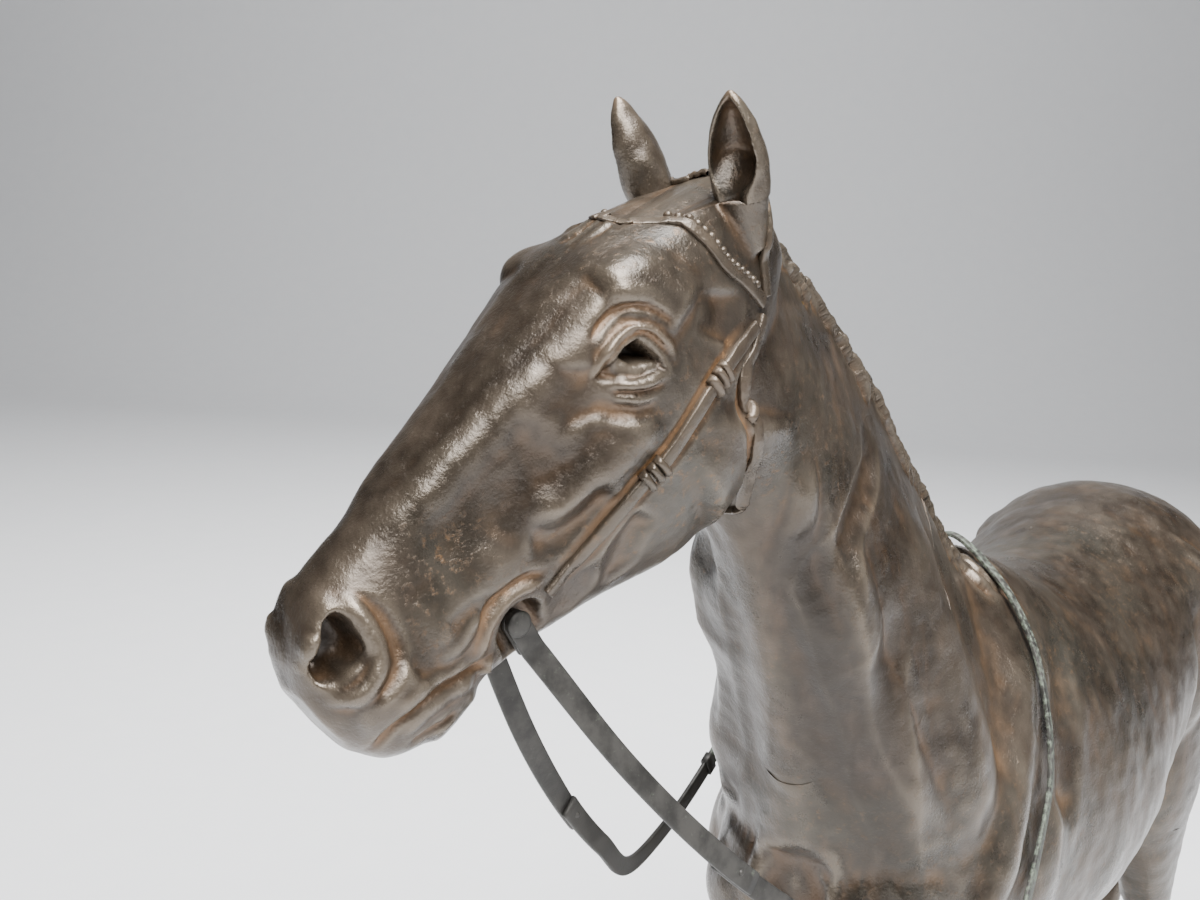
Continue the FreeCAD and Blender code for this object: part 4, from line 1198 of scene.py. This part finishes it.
class HorseTones(bpy.types.PropertyGroup):
    """Colours of the patina."""
    brown: FloatVectorProperty(name="Brown", description="Body colour of the patina",
                               default=(0.046, 0.034, 0.024), subtype="COLOR", size=3)
    grey_green: FloatVectorProperty(name="Grey Green", description="Cool clouds in the patina",
                                    default=(0.050, 0.051, 0.041), subtype="COLOR", size=3)
    ochre: FloatVectorProperty(name="Ochre", description="Earth colour left in the hollows",
                               default=(0.27, 0.135, 0.05), subtype="COLOR", size=3)
    worn: FloatVectorProperty(name="Worn", description="Rubbed metal on the raised edges",
                              default=(0.22, 0.18, 0.135), subtype="COLOR", size=3)
    rein: FloatVectorProperty(name="Rein", description="Dark strip of the rein",
                              default=(0.038, 0.036, 0.033), subtype="COLOR", size=3)
    verdigris: FloatVectorProperty(name="Verdigris", description="Green crust on the rein",
                                   default=(0.24, 0.30, 0.22), subtype="COLOR", size=3)


class StudioLights(bpy.types.PropertyGroup):
    """Strengths of the studio's lights."""
    key: FloatProperty(name="Key", description="Soft box above the head", default=34.0,
                       min=0.0, unit="POWER")
    fill: FloatProperty(name="Fill", description="Large soft box at the horse's left",
                        default=3.0, min=0.0, unit="POWER")
    backdrop: FloatProperty(name="Backdrop", description="Light on the paper behind the horse",
                            default=16.0, min=0.0, unit="POWER")
    floor: FloatProperty(name="Floor", description="Wide light over the floor", default=46.0,
                         min=0.0, unit="POWER")


shared = {}


# ---- operators ----
class HORSE_OT_head(bpy.types.Operator):
    """Model the head casting"""
    bl_idname = "horse.head"
    bl_label = "Head Casting"

    def execute(self, context):
        sizes = context.scene.horse_sizes
        clay = head_clay(sizes.head_voxel)
        clay.weather()
        point, normal = seam(HEAD_SEAM)
        planes = [(point, -normal)]
        mesh = clay.cut(planes)
        bm = bmesh.new()
        bm.from_mesh(mesh)
        for side in (1, -1):
            base, rise, across, _ = ear_frame(side)
            seat = base + rise * EAR_SEAT * EAR_LENGTH
            near = [f for f in bm.faces
                    if np.linalg.norm(np.array(f.calc_center_median()) - seat) < EAR_LENGTH * 1.1]
            edges = {e for f in near for e in f.edges}
            verts = {v for f in near for v in f.verts}
            bmesh.ops.bisect_plane(bm, geom=[*verts, *edges, *near], dist=1e-6,
                                   plane_co=Vector(seat), plane_no=Vector(rise),
                                   clear_outer=True)
            rim = [e for e in bm.edges if e.is_boundary]
            bmesh.ops.holes_fill(bm, edges=rim, sides=0)
        bm.to_mesh(mesh)
        bm.free()
        mesh = largest_island(mesh)
        place("head", mesh, patina("head_patina", speckle=0.55), "statue", "bronze_castings",
              ["head_casting"])
        shared["surface"] = Surface([mesh])
        return {"FINISHED"}


class HORSE_OT_ears(bpy.types.Operator):
    """Model the two ears"""
    bl_idname = "horse.ears"
    bl_label = "Ears"

    def execute(self, context):
        finish = patina("ear_patina", speckle=0.4, ochre=1.2)
        for name, side in (("left_ear", 1), ("right_ear", -1)):
            base, rise, across, front = ear_frame(side)
            clay = Clay(ear_shell(side), 0.24 * MM)
            carve_cup(clay, side)
            clay.fresh()
            clay.smooth(0.4 * MM)
            tip = ramp((clay.co - base) @ rise / EAR_LENGTH, 0.86, 1.0)
            clay.ochre = 0.8 * tip
            clay.texture(3.0, 0.22, 5 + side)
            clay.weather()
            mesh = clay.cut([(base + rise * EAR_SEAT * EAR_LENGTH, -rise)])
            place(name, mesh, finish, "statue", "bronze_castings", [name])
        return {"FINISHED"}


class HORSE_OT_neck(bpy.types.Operator):
    """Model the neck casting with its mane"""
    bl_idname = "horse.neck"
    bl_label = "Neck Casting"

    def execute(self, context):
        voxel = context.scene.horse_sizes.neck_voxel
        clay = Clay(gathered(skull_shell(), neck_shell(), trunk_shell()), voxel)
        clay.smooth(2.6 * MM)
        clay.strokes(STATUE_CHART, BODY_FORMS[:1], gain=1.9)
        neck_detail(clay, forms_only=True)
        neck_detail(clay, forms_only=False)
        clay.texture(9, 0.35, 3)
        clay.texture(3.2, 0.12, 11)
        clay.weather()
        (low, down), (high, ahead) = seam(NECK_SEAM), seam(HEAD_SEAM)
        mesh = largest_island(clay.cut([(low, -down), (high, ahead)]))
        place("neck", mesh, patina("neck_patina", streaks=1.0, speckle=0.35), "statue",
              "bronze_castings", ["neck_casting"])
        return {"FINISHED"}


class HORSE_OT_body(bpy.types.Operator):
    """Model the trunk casting"""
    bl_idname = "horse.body"
    bl_label = "Body Casting"

    def execute(self, context):
        voxel = context.scene.horse_sizes.body_voxel
        stumps = [leg_shell([row for row in rows if row[0] > joint - 0.08], spread, 0.0)
                  for rows, spread, joint in LEG_ROWS]
        clay = Clay(gathered(trunk_shell(), neck_shell(), tail_shell(), *stumps), voxel)
        clay.smooth(2.6 * MM)
        clay.strokes(STATUE_CHART, BODY_FORMS, gain=1.9)
        clay.strokes(STATUE_CHART, [(CHEST_FURROW, 12, -2.5)], sides="as drawn")
        clay.smooth(1.2 * MM)
        neck_detail(clay, forms_only=True)
        neck_detail(clay, forms_only=False)
        clay.texture(14, 0.6, 3)
        clay.texture(5, 0.25, 11)
        clay.weather()
        point, normal = seam(NECK_SEAM)
        planes = [(point, normal), (dock()[0], dock()[1])]
        mesh = clay.cut(planes)
        bm = bmesh.new()
        bm.from_mesh(mesh)
        for _, spread, joint in LEG_ROWS:
            level = joint * WITHERS
            near = [f for f in bm.faces if f.calc_center_median().z < level + 4 * MM
                    and (f.calc_center_median().x > 0) == (joint == FORE_JOINT)
                    and f.calc_center_median().y * spread > 0]
            geom = [*{v for f in near for v in f.verts}, *{e for f in near for e in f.edges}, *near]
            bmesh.ops.bisect_plane(bm, geom=geom, dist=1e-6, plane_co=Vector((0, 0, level)),
                                   plane_no=Vector((0, 0, -1)), clear_outer=True)
            rim = [e for e in bm.edges if e.is_boundary]
            for edge in rim:
                edge.smooth = False
            bmesh.ops.holes_fill(bm, edges=rim, sides=0)
        bm.to_mesh(mesh)
        bm.free()
        place("body", largest_island(mesh), patina("body_patina", streaks=0.7, speckle=0.3),
              "statue", "bronze_castings", ["body_casting"])
        return {"FINISHED"}


LEG_ROWS = [(FORELEG, FORE_SPREAD, FORE_JOINT), (FORELEG, -FORE_SPREAD, FORE_JOINT),
            (HIND_LEG, HIND_SPREAD, HIND_JOINT), (HIND_LEG, -HIND_SPREAD, HIND_JOINT)]


class HORSE_OT_legs(bpy.types.Operator):
    """Model the four legs below their joints"""
    bl_idname = "horse.legs"
    bl_label = "Legs"

    def execute(self, context):
        voxel = context.scene.horse_sizes.leg_voxel
        finish = patina("leg_patina", streaks=0.5, speckle=0.3)
        names = ("left_foreleg", "right_foreleg", "left_hind_leg", "right_hind_leg")
        for name, (rows, spread, joint) in zip(names, LEG_ROWS):
            stagger = HIND_STAGGER if name == "left_hind_leg" else 0.0
            clay = Clay(leg_shell(rows, spread, stagger), voxel)
            lean = stagger * np.maximum(0, STAGGER_FROM - clay.co[:, 2] / WITHERS) / STAGGER_FROM
            clay.co[:, 0] += lean
            clay.strokes(STATUE_CHART, LEG_FORMS)
            clay.co[:, 0] -= lean
            clay.co[:, 2] = np.maximum(clay.co[:, 2], 0)
            clay.settle()
            clay.texture(6, 0.3, 7)
            clay.co[:, 2] = np.maximum(clay.co[:, 2], 0)
            clay.weather()
            mesh = clay.cut([((0, 0, joint * WITHERS), (0, 0, 1))])
            place(name, mesh, finish, "statue", "bronze_castings", [name])
        return {"FINISHED"}


def tail_frames(count):
    rows = eased(TAIL, count)
    places = np.array([at(x, 0, z) for x, z, _, _ in rows])
    run = np.gradient(places, axis=0)
    return [(p, np.cross(unit(d), (0, 1, 0)), deep, wide)
            for p, d, (_, _, deep, wide) in zip(places, run, rows)]


def tail_shell():
    return skin([egg(p, out * deep * WITHERS, (0, wide * WITHERS, 0), around=64)
                 for p, out, deep, wide in tail_frames(90)])


def dock():
    """The flat joint of the tail: a point and the way the tail leaves it."""
    point = at(TAIL[1][0], 0, TAIL[1][1])
    return point, unit(point - at(TAIL[0][0], 0, TAIL[0][1]))


class HORSE_OT_tail(bpy.types.Operator):
    """Model the tail with its strands"""
    bl_idname = "horse.tail"
    bl_label = "Tail"

    def execute(self, context):
        clay = Clay(tail_shell(), 0.8 * MM)
        frames = tail_frames(60)
        for k in range(22):
            line = []
            for j in range(4 + k % 5, 58 - (k * 7) % 13, 6):
                p, out, deep, wide = frames[j]
                turn = math.tau * k / 22 + 0.25 * math.sin(j / 11 + k)
                spot = p + out * deep * WITHERS * math.cos(turn) + np.array(
                    (0, wide * WITHERS * math.sin(turn), 0))
                line.append(STATUE_CHART.local(spot))
            clay.stroke(STATUE_CHART, line, 2.6, 1.0 if k % 2 else -1.1, sides="as drawn",
                        ochre=0.0 if k % 2 else 0.2)
        clay.texture(8, 0.4, 2)
        clay.weather()
        point, way = dock()
        mesh = clay.cut([(point, -way)])
        place("tail", mesh, patina("tail_patina", streaks=0.6, speckle=0.3), "statue",
              "bronze_castings", ["tail"])
        return {"FINISHED"}


class HORSE_OT_bridle(bpy.types.Operator):
    """Lay the straps of the bridle on the head"""
    bl_idname = "horse.bridle"
    bl_label = "Bridle Straps"

    def execute(self, context):
        surface = shared["surface"]
        finish = patina("strap_patina", speckle=0.5, ochre=1.3, tone=1.15)
        straps = (("left_cheekpiece", CHEEK), ("right_cheekpiece", mirrored(CHEEK)),
                  ("browband", whole_width(BROW)), ("throatlatch", whole_width(THROAT)),
                  ("headpiece", whole_width(POLL_STRAP)))
        for name, line in straps:
            places, faces = surface.path(in_world(line), 40 * len(line))
            brow = name == "browband"
            bm = ribbon(places, faces, STRAP_WIDTH * 0.8, STRAP_THICK * 0.8, dome=0.15,
                        wave=under_forelock if brow else None)
            if brow:
                bm = gathered(bm, *beads(places, faces))
            plain_piece(name, bm, finish, "statue", "bridle_straps", [name])
        return {"FINISHED"}


class HORSE_OT_buckles(bpy.types.Operator):
    """Wrap the buckles and keepers round the straps"""
    bl_idname = "horse.buckles"
    bl_label = "Buckles and Keepers"

    def execute(self, context):
        surface = shared["surface"]
        finish = patina("buckle_patina", speckle=0.4, ochre=1.0, tone=1.5)
        wide = STRAP_WIDTH + 2 * BUCKLE_SIDE
        for hand, turn in (("left", list), ("right", mirrored)):
            cheek, throat = turn(CHEEK), turn(THROAT)
            buckle = gathered(*[wrap(surface, cheek, share, KEEPER_LENGTH * 0.8, wide,
                                     BUCKLE_PROUD, "bead") for share in (0.535, 0.565, 0.595)])
            plain_piece(hand + "_cheek_buckle", buckle, finish, "statue", "bridle_straps",
                        [hand + "_cheek_buckle"])
            keepers = gathered(*[wrap(surface, cheek, share, KEEPER_LENGTH * 0.8, wide,
                                      BUCKLE_PROUD, "bead") for share in (0.21, 0.24, 0.27)])
            plain_piece(hand + "_cheek_keepers", keepers, finish, "statue", "bridle_straps",
                        [hand + "_cheek_keepers"])
            bead = wrap(surface, throat, 0.42, BUCKLE_LENGTH * 0.8, wide, BUCKLE_PROUD, "bead")
            plain_piece(hand + "_throat_buckle", bead, finish, "statue", "bridle_straps",
                        [hand + "_throat_buckle"])
        return {"FINISHED"}


class HORSE_OT_bit(bpy.types.Operator):
    """Turn the bit bar with its peened ends"""
    bl_idname = "horse.bit"
    bl_label = "Bit Bar"

    def execute(self, context):
        half = BIT_SEAT + REIN_THICK / 2
        profile = [(-half - BIT_HEAD_THICK, 0.3), (-half - 0.8 * BIT_HEAD_THICK, 0.8),
                   (-half - 0.3 * BIT_HEAD_THICK, 1.0), (-half, 1.0)]
        loops = []
        for x, share in profile:
            r = BIT_HEAD_RADIUS * share
            loops.append(egg(BIT + LEFT * x, UP * r, ALONG * r, around=32))
        middle = [egg(BIT + LEFT * x, UP * BIT_RADIUS, ALONG * BIT_RADIUS, around=32)
                  for x in (-half * 0.999, half * 0.999)]
        far = [egg(BIT - LEFT * x, UP * BIT_HEAD_RADIUS * share, ALONG * BIT_HEAD_RADIUS * share,
                   around=32) for x, share in profile[::-1]]
        plain_piece("bit_bar", skin(loops + middle + far), rein_finish("bit_finish", 0.2),
                    "statue", "rein_strip", ["bit_bar"])
        return {"FINISHED"}


class HORSE_OT_reins(bpy.types.Operator):
    """Bend the strips of the two reins and their crown"""
    bl_idname = "horse.reins"
    bl_label = "Reins"

    def execute(self, context):
        dark = rein_finish("rein_front_finish", 0.12)
        green = rein_finish("rein_rear_finish", 0.6)
        drop = REIN_THICK + LAP_GAP
        ends = {}
        for hand, side in (("left", 1), ("right", -1)):
            points, faces = rein_route(side)
            bit, tab, out = bit_seat(side), rein_tab(side), LEFT * side
            steps = np.linspace(-REIN_WIDTH / 2, REIN_LAP, 24, endpoint=False)
            lead = np.array([bit + tab * s for s in steps])
            lap = FINE * LAP_STATION
            front = rein_strip(np.vstack([lead, points[:lap + 1]]),
                               np.vstack([[out] * len(lead), faces[:lap + 1]]), round_start=True)
            folded = np.array([bit + tab * s - out * REIN_THICK for s in steps])
            fold = rein_strip(folded, [out] * len(folded), round_start=True)
            inner = points - faces * drop
            joint = FINE * round(KEEPER_SHARE * REIN_STATIONS)
            middle = rein_strip(inner[lap - FINE:joint + 1], faces[lap - FINE:joint + 1])
            rear_share = np.linspace(0, 1, len(inner) - joint)
            rear = rein_strip(inner[joint:], faces[joint:],
                              REIN_WIDTH * (1 - (1 - CROWN_NARROW) * ramp(rear_share, 0.05, 0.35)))
            spot = inner[lap - FINE // 2] + faces[lap] * drop / 2
            rivet = dome_pin(spot, faces[lap], RIVET_RADIUS, 3.0 * REIN_THICK)
            step = np.linalg.norm(inner[joint + 1] - inner[joint])
            half = max(1, round(REIN_KEEPER_LENGTH / 2 / step))
            band = slice(joint - half, joint + half + 1)
            keeper = rein_strip(inner[band], faces[band], REIN_WIDTH + 2 * REIN_KEEPER_THICK,
                                REIN_THICK + 2 * REIN_KEEPER_THICK)
            for part, bm, finish in (("front", front, dark), ("fold", fold, dark),
                                     ("middle", middle, dark), ("rear", rear, green),
                                     ("rivet", rivet, dark), ("keeper", keeper, dark)):
                name = f"{hand}_rein_{part}"
                plain_piece(name, bm, finish, "reins", "rein_strip", [name])
            ends[hand] = inner[-1], faces[-1], inner[-1 - FINE]
        (a, face_a, before_a), (b, face_b, before_b) = ends["left"], ends["right"]
        arch = eased([before_a, a, at(*CROWN_TOP), b, before_b], 49, trim=1)
        share = np.linspace(1, 0, len(arch))[:, None]
        faces = face_a * share + face_b * (1 - share)
        faces[:, 0] = 0
        faces[:, 2] += 0.5 * np.sin(math.pi * share[:, 0])
        plain_piece("rein_crown", rein_strip(arch, faces, REIN_WIDTH * CROWN_NARROW), green, "reins", "rein_strip",
                    ["rein_crown"])
        return {"FINISHED"}


class HORSE_OT_pins(bpy.types.Operator):
    """Finish the pins and dowels inside the castings"""
    bl_idname = "horse.pins"
    bl_label = "Pins and Dowels"

    def execute(self, context):
        finish = bare_bronze("pin_bronze")
        for name in ("leg_pins", "neck_dowels", "head_dowels"):
            node = frame["nodes"][name]
            node.data.materials.clear()
            node.data.materials.append(finish)
        return {"FINISHED"}


CAMERA_PLACE = (0.34278, 0.12500, 0.34415)
CAMERA_TURN = (80.535, -3.245, 126.483)
FLOOR_REACH = 1.9
FLOOR_DROP = 0.6 * MM        # keeps the paper just under the hooves
BACKDROP_TURN = math.radians(216)
BACKDROP_LIGHT = 0.6         # how far behind the horse the paper's own light hangs
BACKDROP_BEND = 0.9          # radius of the curve from floor to wall
FOCAL_LENGTH = 39.96     # millimetres on a 36 mm sensor


def soft_box(name, place_at, aim, size, power, tint):
    light = bpy.data.lights.new(name, "AREA")
    light.shape, light.size, light.energy, light.color = "SQUARE", size, power, tint
    lamp = bpy.data.objects.new(name, light)
    lamp.location = place_at
    lamp.rotation_euler = (Vector(aim) - Vector(place_at)).to_track_quat("-Z", "Y").to_euler()
    bpy.context.scene.collection.objects.link(lamp)


class HORSE_OT_stage(bpy.types.Operator):
    """Set up the pale floor, the soft lights and the camera"""
    bl_idname = "horse.stage"
    bl_label = "Studio Stage"

    def execute(self, context):
        lights = context.scene.studio_lights
        bm = bmesh.new()
        bmesh.ops.create_grid(bm, x_segments=2, y_segments=2, size=FLOOR_REACH)
        bmesh.ops.translate(bm, verts=bm.verts, vec=(0, 0, -FLOOR_DROP))
        bmesh.ops.rotate(bm, verts=bm.verts, matrix=Matrix.Rotation(BACKDROP_TURN, 3, "Z"))
        away = Vector((math.cos(BACKDROP_TURN), math.sin(BACKDROP_TURN), 0))
        rim = [e for e in bm.edges if e.is_boundary
               and all(v.co.dot(away) > FLOOR_REACH * 0.99 for v in e.verts)]
        steps = 16
        for k in range(steps + 4):
            grown = bmesh.ops.extrude_edge_only(bm, edges=rim)["geom"]
            rim = [g for g in grown if isinstance(g, bmesh.types.BMEdge)]
            verts = {v for e in rim for v in e.verts}
            angle = math.pi / 2 * min(k + 0.5, steps) / steps
            length = BACKDROP_BEND * math.pi / 2 / steps if k < steps else 0.6
            step = away * math.cos(angle) * length + Vector((0, 0, math.sin(angle) * length))
            bmesh.ops.translate(bm, verts=list(verts), vec=step)
        bmesh.ops.recalc_face_normals(bm, faces=bm.faces)
        mesh = as_mesh(bm, "backdrop")
        mesh.polygons.foreach_set("use_smooth", [True] * len(mesh.polygons))
        mesh.materials.append(studio_card("paper"))
        floor = bpy.data.objects.new("backdrop", mesh)
        context.scene.collection.objects.link(floor)
        head = Vector(POLL)
        soft_box("key_light", head + Vector((0.33, 0.42, 0.75)), head, 0.85, lights.key,
                 (1.0, 0.99, 0.97))
        soft_box("fill_light", (-0.5, 1.3, 0.5), (0.0, 0.0, 0.25), 1.2, lights.fill,
                 (0.95, 0.98, 1.0))
        soft_box("top_light", (0.15, 0.15, 1.5), (0.1, 0.0, 0.0), 0.9, lights.floor,
                 (0.97, 0.98, 1.0))
        behind = away * BACKDROP_LIGHT + Vector((0, 0, 1.0))
        soft_box("backdrop_light", behind, away * FLOOR_REACH, 0.8, lights.backdrop,
                 (0.98, 0.99, 1.0))
        world = bpy.data.worlds.new("studio")
        world.use_nodes = True
        world.node_tree.nodes["Background"].inputs[0].default_value = (0.86, 0.91, 1.0, 1)
        world.node_tree.nodes["Background"].inputs[1].default_value = 0.07
        context.scene.world = world
        camera = bpy.data.objects.new("camera", bpy.data.cameras.new("camera"))
        camera.location = CAMERA_PLACE
        camera.rotation_euler = [math.radians(a) for a in CAMERA_TURN]
        camera.data.lens = FOCAL_LENGTH
        camera.data.sensor_width = 36.0
        camera.data.clip_start = 0.01
        context.scene.collection.objects.link(camera)
        context.scene.camera = camera
        return {"FINISHED"}


class HORSE_PT_panel(bpy.types.Panel):
    """Lists the pieces and their settings"""
    bl_idname = "HORSE_PT_panel"
    bl_label = "Bronze Horse"
    bl_space_type = "VIEW_3D"
    bl_region_type = "UI"
    bl_category = "Bronze Horse"

    def draw(self, context):
        for group in (context.scene.horse_sizes, context.scene.horse_tones,
                      context.scene.studio_lights):
            box = self.layout.box()
            for key in group.bl_rna.properties.keys():
                if key not in ("rna_type", "name"):
                    box.prop(group, key)
        for operator in MAKERS:
            self.layout.operator(operator.bl_idname)


MAKERS = (HORSE_OT_stage, HORSE_OT_head, HORSE_OT_ears, HORSE_OT_neck, HORSE_OT_body,
          HORSE_OT_legs, HORSE_OT_tail, HORSE_OT_bridle, HORSE_OT_buckles, HORSE_OT_bit,
          HORSE_OT_reins, HORSE_OT_pins)
GROUPS = (("horse_sizes", HorseSizes), ("horse_tones", HorseTones),
          ("studio_lights", StudioLights))


def register():
    for kind in (*[group for _, group in GROUPS], *MAKERS, HORSE_PT_panel):
        bpy.utils.register_class(kind)
    for name, group in GROUPS:
        setattr(bpy.types.Scene, name, PointerProperty(type=group))


def unregister():
    for name, _ in GROUPS:
        delattr(bpy.types.Scene, name)
    for kind in (HORSE_PT_panel, *MAKERS[::-1], *[group for _, group in GROUPS]):
        bpy.utils.unregister_class(kind)


def main():
    register()
    import time
    for operator in MAKERS:
        began = time.time()
        getattr(bpy.ops.horse, operator.bl_idname.split(".")[1])()
        print(operator.bl_idname, round(time.time() - began, 1), "s", flush=True)
    for ob in bpy.context.scene.objects:
        if ob.type == "MESH" and len(ob.data.polygons) > 20000:
            print(ob.name, sum(len(p.vertices) - 2 for p in ob.data.polygons))


if __name__ == "__main__":
    main()
